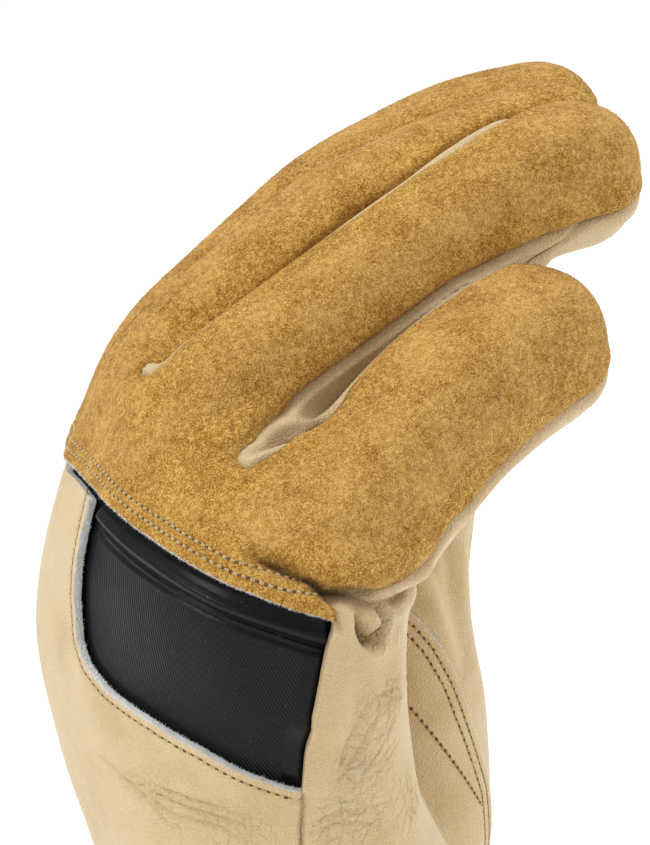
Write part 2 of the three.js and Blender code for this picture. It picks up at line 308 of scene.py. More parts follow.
@dataclass
class Skin:
    """A triangle mesh with values at its points."""

    points: Array
    faces: Array
    values: dict[str, Array]

    def normals(self) -> Array:
        """The mean direction of the faces round each point.

        Returns:
            One direction for each point.
        """
        p = self.points[self.faces]
        n = np.cross(p[:, 1] - p[:, 0], p[:, 2] - p[:, 0])
        total = np.zeros_like(self.points)
        for k in range(3):
            np.add.at(total, self.faces[:, k], n)
        return unit(total)

    def _grown(self, a: Array, b: Array, t: Array) -> "Skin":
        """This mesh with extra points between pairs of points, and the same faces.

        Args:
            a: the first point of each pair.
            b: the second point of each pair.
            t: how far each new point lies from the first to the second, from 0 to 1.

        Returns:
            The mesh, with the new points last.
        """
        t = t[:, None]
        points = np.concatenate([self.points, self.points[a] * (1 - t) + self.points[b] * t])
        values = {}
        for name, v in self.values.items():
            k = t if v.ndim > 1 else t[:, 0]
            values[name] = np.concatenate([v, v[a] * (1 - k) + v[b] * k])
        return Skin(points, self.faces, values)

    def _tidied(self, faces: Array) -> "Skin":
        """Only the points that the faces use.

        Args:
            faces: the faces to keep.

        Returns:
            The mesh of those faces.
        """
        used, index = np.unique(faces, return_inverse=True)
        return Skin(
            self.points[used],
            index.reshape(faces.shape),
            {name: v[used] for name, v in self.values.items()},
        )

    def clipped(self, f: Array) -> "Skin":
        """The part of the mesh where a value at its points is above zero, cut exactly at zero.

        Args:
            f: the value at each point.

        Returns:
            The part above zero.
        """
        f = np.where(np.abs(f) < 1e-3, 1e-3, f)
        inside = f > 0
        n = len(self.points)
        count = inside[self.faces].sum(1)
        turn = np.where(
            count == 1,
            np.argmax(inside[self.faces], 1),
            np.argmax(~inside[self.faces], 1),
        )
        faces = np.take_along_axis(self.faces, (turn[:, None] + np.arange(3)) % 3, 1)
        cut = faces[(count == 1) | (count == 2)]
        ends = np.concatenate([cut[:, [0, 1]], cut[:, [0, 2]]])
        ends = np.sort(ends, 1)
        keys, where = np.unique(ends[:, 0] * n + ends[:, 1], return_inverse=True)
        a, b = keys // n, keys % n
        grown = self._grown(a, b, f[a] / (f[a] - f[b]))
        mids = n + where.reshape(2, -1)
        one = (count == 1)[(count == 1) | (count == 2)]
        x, y, z = cut.T
        p, q = mids
        pieces = [
            self.faces[count == 3],
            np.stack([x, p, q], 1)[one],
            np.stack([p, y, z], 1)[~one],
            np.stack([p, z, q], 1)[~one],
        ]
        return grown._tidied(np.concatenate(pieces))

    def refined(self, near: Array) -> "Skin":
        """The mesh with each face that has a chosen corner split in four, and its neighbours to match.

        Args:
            near: which points are chosen.

        Returns:
            The finer mesh.
        """
        n = len(self.points)
        f = self.faces
        pairs = np.sort(np.stack([f, np.roll(f, -1, 1)], 2), 2)
        keys = pairs[..., 0] * n + pairs[..., 1]
        chosen = np.unique(keys[near[f].any(1)])
        if not len(chosen):
            return self
        marked = np.isin(keys, chosen)
        a, b = chosen // n, chosen % n
        grown = self._grown(a, b, np.full(len(a), 0.5))
        mid = n + np.searchsorted(chosen, keys)
        count = marked.sum(1)
        turn = np.where(count == 1, np.argmax(marked, 1), (np.argmin(marked, 1) + 1) % 3)
        roll = (turn[:, None] + np.arange(3)) % 3
        x, y, z = np.take_along_axis(f, roll, 1).T
        m, k, j = np.take_along_axis(mid, roll, 1).T
        pieces = [f[count == 0]]
        for wanted, triples in (
            (1, ((x, m, z), (m, y, z))),
            (2, ((m, y, k), (x, m, k), (x, k, z))),
            (3, ((x, m, j), (m, y, k), (j, k, z), (m, k, j))),
        ):
            pieces += [np.stack(t, 1)[count == wanted] for t in triples]
        return grown._tidied(np.concatenate(pieces))

    def edge(self) -> Array:
        """The boundary's edges, each as two points in the order that its face has them.

        Returns:
            Two points for each edge.
        """
        n = len(self.points)
        pairs = np.concatenate([self.faces[:, [0, 1]], self.faces[:, [1, 2]], self.faces[:, [2, 0]]])
        keys = pairs.min(1) * n + pairs.max(1)
        _, first, count = np.unique(keys, return_index=True, return_counts=True)
        return pairs[first[count == 1]]

    def contour(self, f: Array, level: float) -> list[Array]:
        """The lines on the mesh where a value has a level.

        Args:
            f: the value at each point.
            level: the level to follow.

        Returns:
            One array of positions and normals, six numbers a row, for each line.
        """
        g = np.where(np.abs(f - level) < 1e-6, 1e-6, f - level)
        n = len(self.points)
        ends = []
        for i in range(3):
            a, b = self.faces[:, i], self.faces[:, (i + 1) % 3]
            ends.append(np.where((g[a] > 0) != (g[b] > 0), np.minimum(a, b) * n + np.maximum(a, b), -1))
        ends = np.sort(np.stack(ends, 1), 1)
        ends = ends[ends[:, 1] >= 0][:, 1:]
        normal = self.values["normal"]
        links: dict[int, list[int]] = {}
        for p, q in ends:
            links.setdefault(int(p), []).append(int(q))
            links.setdefault(int(q), []).append(int(p))
        lines = []
        while links:
            start = next((k for k, v in links.items() if len(v) == 1), next(iter(links)))
            chain = [start]
            while links.get(chain[-1]):
                step = links[chain[-1]].pop()
                links[step].remove(chain[-1])
                chain.append(step)
            for k in chain:
                if not links.get(k):
                    links.pop(k, None)
            keys = np.array(chain)
            a, b = keys // n, keys % n
            t = (g[a] / (g[a] - g[b]))[:, None]
            spot = self.points[a] * (1 - t) + self.points[b] * t
            lines.append(np.concatenate([spot, unit(normal[a] * (1 - t) + normal[b] * t)], 1))
        return [line for line in lines if len(line) > 4]


def spaced(line: Array, pitch: float) -> Array:
    """A line's rows at even steps along it, after it is smoothed.

    Args:
        line: positions in its first three columns.
        pitch: the step.

    Returns:
        The rows at each step.
    """
    for _ in range(4):
        line = np.concatenate([line[:1], (line[:-2] + 2 * line[1:-1] + line[2:]) / 4, line[-1:]])
    s = np.concatenate([[0.0], np.cumsum(np.linalg.norm(np.diff(line[:, :3], axis=0), axis=1))])
    at = np.arange(pitch / 2, s[-1], pitch)
    return np.stack([np.interp(at, s, line[:, k]) for k in range(line.shape[1])], 1)


class Grid:
    """Signed distances on a box of even steps, negative inside."""

    def __init__(self, low: tuple[float, float, float], high: tuple[float, float, float]) -> None:
        """Sets the box.

        Args:
            low: its lowest corner.
            high: its highest corner.
        """
        self.start = np.floor(np.array(low) / STEP).astype(int)
        self.shape = tuple(np.ceil(np.array(high) / STEP).astype(int) - self.start)
        self.band = 10

    def solid(self, rings: Array) -> Array:
        """The distances of a solid through rings of points.

        Args:
            rings: sections, each with the same number of points.

        Returns:
            The distances on the grid.
        """
        count, n = rings.shape[:2]
        points = np.concatenate([rings.reshape(-1, 3), [rings[0].mean(0), rings[-1].mean(0)]])
        i, j = np.meshgrid(np.arange(count - 1), np.arange(n), indexing="ij")
        k = (j + 1) % n
        quads = np.stack([i * n + j, i * n + k, (i + 1) * n + k, (i + 1) * n + j], -1).reshape(-1, 4)
        j = np.arange(n)
        k = (j + 1) % n
        last = (count - 1) * n
        first_cap = np.stack([np.full(n, count * n), k, j], 1)
        last_cap = np.stack([np.full(n, count * n + 1), last + j, last + k], 1)
        grid = vdb.FloatGrid.createLevelSetFromPolygons(
            points.astype(np.float32),
            np.concatenate([first_cap, last_cap]).astype(np.uint32),
            quads.astype(np.uint32),
            vdb.createLinearTransform(STEP),
            float(self.band),
        )
        out = np.empty(self.shape, np.float32)
        grid.copyToArray(out, ijk=tuple(int(v) for v in self.start))
        return out

    def axis(self, k: int) -> Array:
        """The coordinate along one axis, shaped to spread over the grid.

        Args:
            k: which axis.

        Returns:
            The coordinates.
        """
        shape = [1, 1, 1]
        shape[k] = -1
        return ((self.start[k] + np.arange(self.shape[k])) * STEP).reshape(shape)

    def sample(self, values: Array, points: Array) -> Array:
        """The grid's values at points, by linear interpolation.

        Args:
            values: the grid's values.
            points: positions, one row each.

        Returns:
            One value for each point.
        """
        p = np.clip(points / STEP - self.start, 0, np.array(self.shape) - 1.001)
        i = p.astype(int)
        t = p - i
        total = np.zeros(len(points))
        for dx in (0, 1):
            for dy in (0, 1):
                for dz in (0, 1):
                    w = np.ones(len(points))
                    for k, d in enumerate((dx, dy, dz)):
                        w = w * (t[:, k] if d else 1 - t[:, k])
                    total += w * values[i[:, 0] + dx, i[:, 1] + dy, i[:, 2] + dz]
        return total

    def surface(self, values: Array) -> tuple[Array, Array]:
        """The points and triangles where the distances are zero.

        Args:
            values: the grid's values.

        Returns:
            The points and the triangles.
        """
        grid = vdb.FloatGrid(float(values.max()))
        grid.copyFromArray(values.astype(np.float32), ijk=tuple(int(v) for v in self.start))
        grid.transform = vdb.createLinearTransform(STEP)
        points, triangles, quads = grid.convertToPolygons(isovalue=0.0, adaptivity=0.0)
        quads = quads.astype(np.int64)
        faces = np.concatenate([quads[:, [0, 1, 2]], quads[:, [0, 2, 3]], triangles.astype(np.int64)])
        points = points.astype(float)
        p = points[faces]
        volume = (p[:, 0] * np.cross(p[:, 1], p[:, 2])).sum()
        return points, faces if volume > 0 else faces[:, ::-1]


def joined(a: Array, b: Array, blend: Array | float) -> Array:
    """The distances of two solids joined with a rounded crease between them."""
    h = np.maximum(blend - np.abs(a - b), 0.0) / blend
    return np.minimum(a, b) - h * h * blend / 4


def blurred(values: Array, width: float) -> Array:
    """A grid's values, blurred by a bell of the given width in steps.

    Args:
        values: the grid's values.
        width: the bell's width in steps.

    Returns:
        The blurred values.
    """
    reach = int(math.ceil(2.5 * width))
    kernel = ridge(np.arange(-reach, reach + 1), 0.0, width * math.sqrt(2))
    kernel /= kernel.sum()
    for k in range(3):
        padded = np.pad(values, [(reach, reach) if i == k else (0, 0) for i in range(3)], mode="edge")
        n = values.shape[k]
        values = sum(w * padded[(slice(None),) * k + (slice(j, j + n),)] for j, w in enumerate(kernel))
    return values


@dataclass(frozen=True)
class Fold:
    """A crease or a ridge along a line on the glove: its height is negative in a crease."""

    line: tuple[tuple[float, float, float], ...]
    height: float
    width: float
    lip: float = 0.0
    echo: float = 0.0

    def lift(self, points: Array) -> Array:
        """How far the fold moves points outwards.

        Args:
            points: positions, one row each.

        Returns:
            A distance for each point, below zero in a crease.
        """
        knots = catmull(np.array(self.line), 14 * len(self.line))
        reach = 3.0 + 4 * self.width
        lo, hi = knots.min(0) - reach, knots.max(0) + reach
        near = np.flatnonzero(((points > lo) & (points < hi)).all(1))
        out = np.zeros(len(points))
        if not len(near):
            return out
        gap = np.linalg.norm(points[near, None] - knots[None], axis=2)
        shift = points[near[np.argmin(gap, 0)]] - knots
        for _ in range(8):
            shift = np.concatenate([shift[:1], (shift[:-2] + 2 * shift[1:-1] + shift[2:]) / 4, shift[-1:]])
        gap = np.linalg.norm(points[near, None] - (knots + shift)[None], axis=2)
        i = np.argmin(gap, 1)
        d = gap[np.arange(len(near)), i]
        fade = np.sin(math.pi * (i + 3) / (len(knots) + 5)) ** 0.6
        shape = np.exp(-((d / self.width) ** 2)) * self.height
        shape += np.exp(-(((d - 2.2 * self.width) / (1.2 * self.width)) ** 2)) * self.lip
        shape += np.exp(-(((d - 4.0 * self.width) / (0.7 * self.width)) ** 2)) * self.echo
        out[near] = shape * fade
        return out


@dataclass(frozen=True)
class GloveForm:
    """The whole glove's outer skin, with the values that its panels are cut by."""

    little: Digit = Digit(
        knuckle=(-7.8, -33.6, 142.9), splay=-1.7, lean=14.7,
        reach=(32.1, 20.1, 18.1), bend=(15, 55.4, 70.4, 81.4), width=(26.6, 25.2), depth=(31, 28.6),
        low=((0, -118), (60, -118), (72, -108)),
        high=((3, 38), (25, 36), (40, 45), (72, 60)),
        crotch=(None, 3.8),
    )
    ring: Digit = Digit(
        knuckle=(-17.2, -8.9, 161.3), splay=-0.4, lean=5.3,
        reach=(46, 29.5, 24), bend=(12, 65.8, 66.8, 88), width=(21.2, 20.6), depth=(26.2, 26.4),
        low=((-3, -66), (1, -80), (8, -90), (50, -92), (57, -99), (64, -107), (75, -118), (95, -119)),
        high=((0, 27), (30, 26), (45, 22), (60, 20), (68, 12), (76, 16), (84, 34), (98, 42)),
        crotch=(-3.6, 0.8),
    )
    middle: Digit = Digit(
        knuckle=(-13.5, 12.6, 160.8), splay=0.3, lean=-0.3,
        reach=(43.1, 29.8, 26.5), bend=(12, 57.2, 74.9, 80.3), width=(20.4, 19.8), depth=(27, 24.4),
        low=((0, -58), (41, -58), (52, -56), (64, -48), (73, -40), (99, -42)),
        high=((0, 55), (99, 60)),
        crotch=(0.3, 4.0),
    )
    index: Digit = Digit(
        knuckle=(-1.6, 33.6, 156.8), splay=2.6, lean=-2.5,
        reach=(44, 28.4, 28.4), bend=(12, 54.6, 70.5, 85.5), width=(20.4, 19.8), depth=(26.4, 23.8),
        low=((0, -60),),
        high=((0, 92),),
        crotch=(4.0, None),
    )
    # height, centre across and along the palm, skew, tilt, half width, depth behind and in front
    hand: tuple[tuple[float, ...], ...] = (
        (-6, 0, 0, 0.1, 0, 44.4, 34.8, 33.6),
        (0, 0, 0, 0.1, 0, 44, 34, 34),
        (30, 0, 0, 0.1, 0, 42, 30, 36),
        (58, 0, 0, 0.12, 0, 41, 28, 37),
        (77, -1, 0, 0.12, 0, 44, 32, 30),
        (95, -3, 0, 0.1, 0, 46, 35, 22),
        (118, -7, 0, 0.1, 0, 48, 34.5, 21.5),
        (138, -10, 0, 0.18, 8, 47, 28, 24),
        (150, -9, 2, 0.2, 18, 43, 20, 22),
        (159, -5, 6, 0.2, 30, 36, 12, 17),
        (163, -1, 8, 0.2, 35, 29, 6, 9),
    )
    # centre, half width and half depth
    thumb: tuple[tuple[float, ...], ...] = (
        (16, 18, 34, 15, 13),
        (36.5, 22, 58, 18, 18),
        (38.9, 25, 82, 19, 19),
        (37.6, 26, 106, 17, 16),
        (41, 25, 128, 15, 14),
        (42.5, 23, 146, 13.5, 12.5),
        (44, 21, 157, 11, 10),
        (44, 20, 164, 5, 5),
    )
    edge_height: float = 134.2
    edge_slope: float = -0.4
    seam_middle: float = -14.2
    seam_slope: float = 0.0944
    window_turn: float = 40.0
    # across and height
    window: tuple[tuple[float, float], ...] = (
        (-22.5, 156), (-24.2, 139), (-24.4, 132), (-22.9, 125.5), (-20.5, 122.3), (-15.4, 120.2), (-4.8, 118),
        (5.1, 115), (12, 111.6), (21.7, 107.4), (38, 99), (38, 156),
    )
    # y and height
    patch: tuple[tuple[float, float], ...] = (
        (-3, 57), (16, 57), (16, 98), (10, 110), (2, 119), (-5, 121), (-11, 117), (-12, 104), (-7, 84),
    )
    # x and height, on the thumb
    lobe: tuple[tuple[float, float], ...] = (
        (0, 57), (0, 110), (20, 114.5), (28, 114.5), (33.5, 112.1), (36.3, 109.2), (39.7, 104.2),
        (43.1, 96.9), (45.6, 89.2), (48.4, 81.4), (51.5, 73), (54, 57),
    )
    # y, or height, and shift
    edge_dips: tuple[tuple[float, float], ...] = (
        (-50, -1.9), (-40, -1.7), (-30, -0.8), (-18, 0.3), (-2, 2.6), (13, 3.5), (40, 3.5),
    )
    seam_shifts: tuple[tuple[float, float], ...] = (
        (60, -1.5), (97, -2.0), (108, -2.6), (122, -2.3), (130.5, -0.4), (138, 1.6),
    )
    # the end of the suede at the outer side of the hand: height and x, then x and height
    flap: tuple[tuple[float, float], ...] = ((139.1, -16.9), (141.4, -17.7), (143.6, -18.4))
    hem: tuple[tuple[float, float], ...] = (
        (-18.4, 143.6), (-15.1, 142.8), (-10.2, 142.3), (-6.5, 141.8), (-2.3, 141.6), (1.9, 142.2),
        (5.2, 143.3), (7.7, 146.2), (10.9, 149), (14, 150), (60, 150),
    )
    # centre, radius and strength
    crinkles: tuple[tuple[float, float, float, float, float], ...] = (
        (-6, -46.5, 121, 6, 1.0), (-10, -46.5, 112, 8, 0.8), (-12, -46, 100, 8, 0.9), (2, -43, 100, 9, 0.8),
        (-7, -46, 134, 7, 0.6), (-37, -25, 102, 10, 0.6), (-30, -38, 99, 9, 0.7), (28, -12, 92, 14, 0.6),
        (30, 10, 110, 16, 0.35), (20, 0, 140, 18, 0.5), (-20, -42, 86, 12, 0.7), (5, 40, 128, 12, 0.7),
    )
    folds: tuple[Fold, ...] = ()

    @property
    def digits(self) -> tuple[Digit, ...]:
        """The fingers, from the little finger to the index finger."""
        return (self.little, self.ring, self.middle, self.index)

    def hand_rings(self) -> Array:
        """The cuff's and hand's sections.

        Returns:
            The points of each section.
        """
        rows = catmull(np.array(self.hand, float), HAND_SECTIONS)
        z, x, y, skew, bend, half, back, front = rows.T
        oval = superellipse(HAND_POINTS, HAND_POWER)
        l, d = oval[:, 0], oval[:, 1]
        depth = np.where(d[None] > 0, back[:, None], front[:, None]) * d[None]
        a = np.radians(bend)[:, None]
        wide = half[:, None] * l[None]
        return np.stack(
            [
                x[:, None] + skew[:, None] * wide - np.cos(a) * depth,
                y[:, None] + wide,
                z[:, None] + np.sin(a) * depth,
            ],
            2,
        )

    def thumb_rings(self) -> Array:
        """The thumb's sections.

        Returns:
            The points of each section.
        """
        rows = catmull(np.array(self.thumb, float), THUMB_SECTIONS)
        centre, half, depth = rows[:, :3], rows[:, 3:4, None], rows[:, 4:5, None]
        along = unit(np.gradient(centre, axis=0))
        side = unit(-np.cross(np.cross([-0.6, 0.8, 0.0], along), along))
        back = unit(-np.cross(side, along))
        oval = superellipse(DIGIT_POINTS, HAND_POWER)
        return (
            centre[:, None]
            + side[:, None] * oval[None, :, :1] * half
            + back[:, None] * oval[None, :, 1:] * depth
        )

    def knuckle_rings(self) -> Array:
        """Sections of the slab of leather that bridges the knuckles behind the finger crotches.

        Returns:
            The points of each section.
        """
        rings = []
        for s in np.linspace(-30.0, 1.5, 14):
            row = []
            for digit in self.digits:
                at = digit.stations(np.array([s]))
                deep = digit.half(np.array([s]))[1][0]
                row.append((at.centre[0], at.back[0], deep))
            top = [c + b * (d - 0.9) for c, b, d in row]
            low = [c - b * 6.0 for c, b, _ in row][::-1]
            rings.append(np.array(top + low))
        fine = []
        for ring in rings:
            top = catmull(ring[:4], 25)
            low = catmull(ring[4:], 25)
            fine.append(np.concatenate([top, low]))
        return np.array(fine)

    def web_rings(self, a: Digit, b: Digit) -> Array:
        """Sections of the web that closes the crotch between two fingers.

        Args:
            a: one finger.
            b: its neighbour on the index finger's side.

        Returns:
            The points of each section.
        """
        s = np.linspace(-10.0, 12.0, 12)
        fa, fb = a.stations(s), b.stations(s)
        low, high = -11.0, -5.0 if a is self.little else -1.5
        corners = [
            fa.centre + fa.back * low,
            fb.centre + fb.back * low,
            fb.centre + fb.back * high,
            fa.centre + fa.back * high,
        ]
        return np.stack(corners, 1)

    def skin(self) -> Skin:
        """The glove's outer skin, with its folds and the values of its panels.

        Returns:
            The skin.
        """
        grid = Grid(*BOX)
        hand = grid.solid(self.hand_rings())
        thumb = grid.solid(self.thumb_rings())
        x = grid.axis(0)
        tight = 1.2 + 5.0 * (1.0 - smooth(x, -34.0, -26.0))
        fingers = grid.solid(self.digits[0].rings())
        for digit in self.digits[1:]:
            fingers = joined(fingers, grid.solid(digit.rings()), tight)
        for a, b in zip(self.digits, self.digits[1:]):
            fingers = joined(fingers, grid.solid(self.web_rings(a, b)), 3.0)
        fingers = joined(fingers, grid.solid(self.knuckle_rings()), 2.5)
        whole = joined(joined(hand, fingers, 7.0), thumb, 5.0)
        whole = blurred(whole, BLUR)
        points, faces = grid.surface(whole)
        for _ in range(EVEN_ROUNDS):
            points = self._relaxed(points, faces)
        skin = Skin(points, faces, {})
        skin.values = self._values(points, grid.sample(hand, points), grid.sample(thumb, points))
        near = np.zeros(len(skin.points), bool)
        for name, reach in (("edge", 5.5), ("window", 3.0), ("seam", 1.8), ("dorsal", 1.8), ("cut", 1.2)):
            near |= np.abs(skin.values[name]) < reach
        for fold in self.folds:
            near |= np.abs(fold.lift(skin.points)) > 0.07
        skin = skin.refined(near & (skin.points[:, 2] > PLAIN_BELOW))
        normal = skin.normals()
        lift = np.zeros(len(skin.points))
        for fold in self.folds:
            lift += fold.lift(skin.points)
        skin.points = skin.points + normal * lift[:, None]
        skin.values["normal"] = skin.normals()
        spread = [
            np.exp(-(((skin.points - c[:3]) ** 2).sum(1) / c[3] ** 2)) * c[4]
            for c in np.array(self.crinkles)
        ]
        skin.values["crease"] = np.maximum.reduce(spread)
        return skin

    @staticmethod
    def _relaxed(points: Array, faces: Array) -> Array:
        """The points, each moved halfway to the middle of its neighbours.

        Args:
            points: positions, one row each.
            faces: triangles.

        Returns:
            The moved points.
        """
        total = np.zeros_like(points)
        count = np.zeros(len(points))
        for i, j in ((0, 1), (1, 2), (2, 0)):
            for a, b in ((i, j), (j, i)):
                np.add.at(total, faces[:, a], points[faces[:, b]])
                np.add.at(count, faces[:, a], 1.0)
        return 0.5 * points + 0.5 * total / count[:, None]

    def _values(self, p: Array, hand: Array, thumb: Array) -> dict[str, Array]:
        """The values that the panels are cut by, each about a distance from a seam.

        Args:
            p: the skin's points.
            hand: their distances from the hand.
            thumb: their distances from the thumb.

        Returns:
            Each value by its name.
        """
        x, y, z = p.T
        dip = np.interp(y, *zip(*self.edge_dips))
        edge = (z - self.edge_height - dip - self.edge_slope * x) / math.hypot(1.0, self.edge_slope)
        slant = np.interp(z, *zip(*self.seam_shifts)) * smooth(-y, 0.0, 30.0)
        seam = self.seam_middle + self.seam_slope * y + slant - x
        turn = math.radians(self.window_turn)
        across = x * math.sin(turn) - y * math.cos(turn)
        facing = x * math.cos(turn) + y * math.sin(turn)
        window = outline_distance(self.window, across, z)
        window = np.where(facing < 10.0, window, -FAR)
        patch = np.minimum(outline_distance(self.patch, y, z), x - 4.0)
        lobe = np.minimum(outline_distance(self.lobe, x, z), 20.0 - y)
        patch = np.where((hand - thumb > 0) & (x > 0), lobe, patch)
        spots = [digit.locate(p) for digit in self.digits]
        over = [np.maximum(s - digit.length, 0) for digit, (s, _, _) in zip(self.digits, spots)]
        # A finger's tip, and what lies far behind its knuckle, count as further away
        dist = np.stack([
            np.hypot(np.hypot(l, d), 1.5 * o) + 4 * np.maximum(-s - 45, 0)
            for o, (s, l, d) in zip(over, spots)
        ])
        w = np.exp(-((dist - dist.min(0)) ** 2 + 2 * dist.min(0) * (dist - dist.min(0))) / 98.0)
        back = (w * np.stack([d for _, _, d in spots])).sum(0) / w.sum(0)
        covers = np.stack([
            np.clip(digit.cover(spot, back), -5, 9) for digit, spot in zip(self.digits, spots)
        ])
        w = w ** np.where(back < 4, 4.0, 2.5)
        dorsal = (w * covers).sum(0) / w.sum(0)
        flap = np.interp(z, *zip(*self.flap)) - x
        hem = z - np.interp(x, *zip(*self.hem))
        dorsal = np.where(y < -20, np.minimum(dorsal, np.maximum(flap, hem)), dorsal)
        values = {"edge": edge, "seam": seam, "window": window, "patch": patch, "dorsal": dorsal}
        values["thumb"] = np.where((x > 0) & (np.minimum(hand, thumb) < 4), hand - thumb, -FAR)
        gussets = []
        for i in range(3):
            sides = []
            for k, sign in ((i, 1.0), (i + 1, -1.0)):
                s, l, d = spots[k]
                digit = self.digits[k]
                half = digit.half(s)[0]
                own = dist[k] - dist.min(0)
                sides.append(
                    np.minimum.reduce([
                        d + 7.5 - 3.0 * smooth(s, digit.length - 30.0, digit.length - 10.0),
                        0.8 * (l * sign - 0.3 * half),
                        s + 4.0,
                        digit.length - 9.0 - s,
                        4.0 - own,
                    ])
                )
            gussets.append(np.maximum(*sides))
            values[f"gusset_{i}"] = gussets[-1]
        values["cut"] = np.minimum(np.abs(np.maximum.reduce(gussets)), np.abs(values["thumb"]))
        return values


class Graph:
    """A material's node tree, built by expressions."""

    def __init__(self, name: str) -> None:
        """Starts a material with one surface shader.

        Args:
            name: the material's name.
        """
        self.material = bpy.data.materials.new(name)
        self.material.use_nodes = True
        self.tree = self.material.node_tree
        self.tree.nodes.clear()
        self.shader = self.tree.nodes.new("ShaderNodeBsdfPrincipled")
        out = self.tree.nodes.new("ShaderNodeOutputMaterial")
        self.tree.links.new(self.shader.outputs[0], out.inputs[0])

    def put(self, node: bpy.types.Node, key: str | int, value: object) -> None:
        """Sets or links one input of a node.

        Args:
            node: the node.
            key: the input's name or number.
            value: a number, a colour or a link.
        """
        socket = node.inputs[key] if isinstance(key, int) else None
        if socket is None:
            socket = next(s for s in node.inputs if key in (s.identifier, s.name) and s.enabled)
        if isinstance(value, Sock):
            self.tree.links.new(value.socket, socket)
        elif isinstance(value, tuple) and len(value) == 3 and socket.type == "RGBA":
            socket.default_value = (*value, 1.0)
        else:
            socket.default_value = value

    def node(self, kind: str, settings: dict, inputs: dict, output: int = 0) -> "Sock":
        """Adds a node.

        Args:
            kind: the node's type, without its ShaderNode.
            settings: its own settings, set first; stops are a ramp's positions and colours.
            inputs: values or links for its sockets.
            output: which output to return.

        Returns:
            The output's socket.
        """
        node = self.tree.nodes.new("ShaderNode" + kind)
        for key, value in settings.items():
            if key == "stops":
                for k, (at, colour) in enumerate(value):
                    stop = node.color_ramp.elements[k] if k < 2 else node.color_ramp.elements.new(at)
                    stop.position = at
                    stop.color = (*colour, 1.0)
            else:
                setattr(node, key, value)
        for key, value in inputs.items():
            self.put(node, key, value)
        return Sock(self, node.outputs[output])

    def place(self) -> "Sock":
        """The point in the glove's frame, in millimetres."""
        spot = self.node("TexCoord", {}, {}, 3)
        return self.node("VectorMath", {"operation": "SCALE"}, {0: spot, "Scale": 1000.0})

    def value(self, name: str) -> "Sock":
        """A value kept at the mesh's points."""
        return self.node("Attribute", {"attribute_name": name}, {}, 2)

    def noise(self, where: "Sock", size: float, detail: float = 3.0, rough: float = 0.55) -> "Sock":
        """Noise from 0 to 1 with grains of the given size in millimetres.

        Args:
            where: the place.
            size: the size of its grains.
            detail: how many finer layers it has.
            rough: how strong those are.

        Returns:
            The noise.
        """
        settings = {"noise_dimensions": "3D"}
        inputs = {"Vector": where, "Scale": 1.0 / size, "Detail": detail, "Roughness": rough}
        return self.node("TexNoise", settings, inputs)

    def blend(self, factor: "Sock | float", a: "Sock | tuple", b: "Sock | tuple") -> "Sock":
        """A colour between two colours."""
        inputs = {"Factor_Float": factor, "A_Color": a, "B_Color": b}
        return self.node("Mix", {"data_type": "RGBA", "clamp_factor": True}, inputs, 2)

    def ramp(self, factor: "Sock", stops: list) -> "Sock":
        """A colour from a ramp."""
        return self.node("ValToRGB", {"stops": stops}, {"Fac": factor})

    def step(self, x: "Sock", start: float, end: float) -> "Sock":
        """A smooth step of a value from 0 to 1."""
        settings = {"interpolation_type": "SMOOTHSTEP"}
        return self.node("MapRange", settings, {"Value": x, "From Min": start, "From Max": end})

    def bump(self, height: "Sock", distance: float, strength: float, under: "Sock | None" = None) -> "Sock":
        """A normal bent by a height, over another normal.

        Args:
            height: the height.
            distance: the relief in metres.
            strength: its strength.
            under: the normal that is bent.

        Returns:
            The normal.
        """
        inputs = {"Strength": strength, "Distance": distance, "Height": height}
        if under is not None:
            inputs["Normal"] = under
        return self.node("Bump", {}, inputs)

    def surface(self, **inputs: object) -> bpy.types.Material:
        """Sets the shader's inputs and returns the material.

        Args:
            **inputs: values or links by the input's name, with _ for a space.

        Returns:
            The material.
        """
        for key, value in inputs.items():
            self.put(self.shader, key.replace("_", " "), value)
        return self.material


class Sock:
    """A node's output, which Python's operators turn into Math nodes."""

    def __init__(self, graph: Graph, socket: bpy.types.NodeSocket) -> None:
        """Wraps a socket of a graph."""
        self.graph = graph
        self.socket = socket

    def math(self, operation: str, *others: "Sock | float", first: bool = True) -> "Sock":
        """A Math node on this value and others, this one first or last."""
        values = (self, *others) if first else (*others, self)
        return self.graph.node("Math", {"operation": operation}, dict(enumerate(values)))

    def __add__(self, other: "Sock | float") -> "Sock":
        """The sum."""
        return self.math("ADD", other)

    __radd__ = __add__

    def __sub__(self, other: "Sock | float") -> "Sock":
        """The difference."""
        return self.math("SUBTRACT", other)

    def __rsub__(self, other: float) -> "Sock":
        """The difference from a number."""
        return self.math("SUBTRACT", other, first=False)

    def __mul__(self, other: "Sock | float") -> "Sock":
        """The product."""
        return self.math("MULTIPLY", other)

    __rmul__ = __mul__


class Finish(Enum):
    """The materials that the glove is made of."""

    SUEDE = "suede"
    GRAIN = "grain_leather"
    RUBBER = "rubber"
    THREAD = "thread"
    HOLE = "needle_hole"
    FIBRE = "fibre"
    LINT = "black_lint"
    NAP = "suede_fibre"


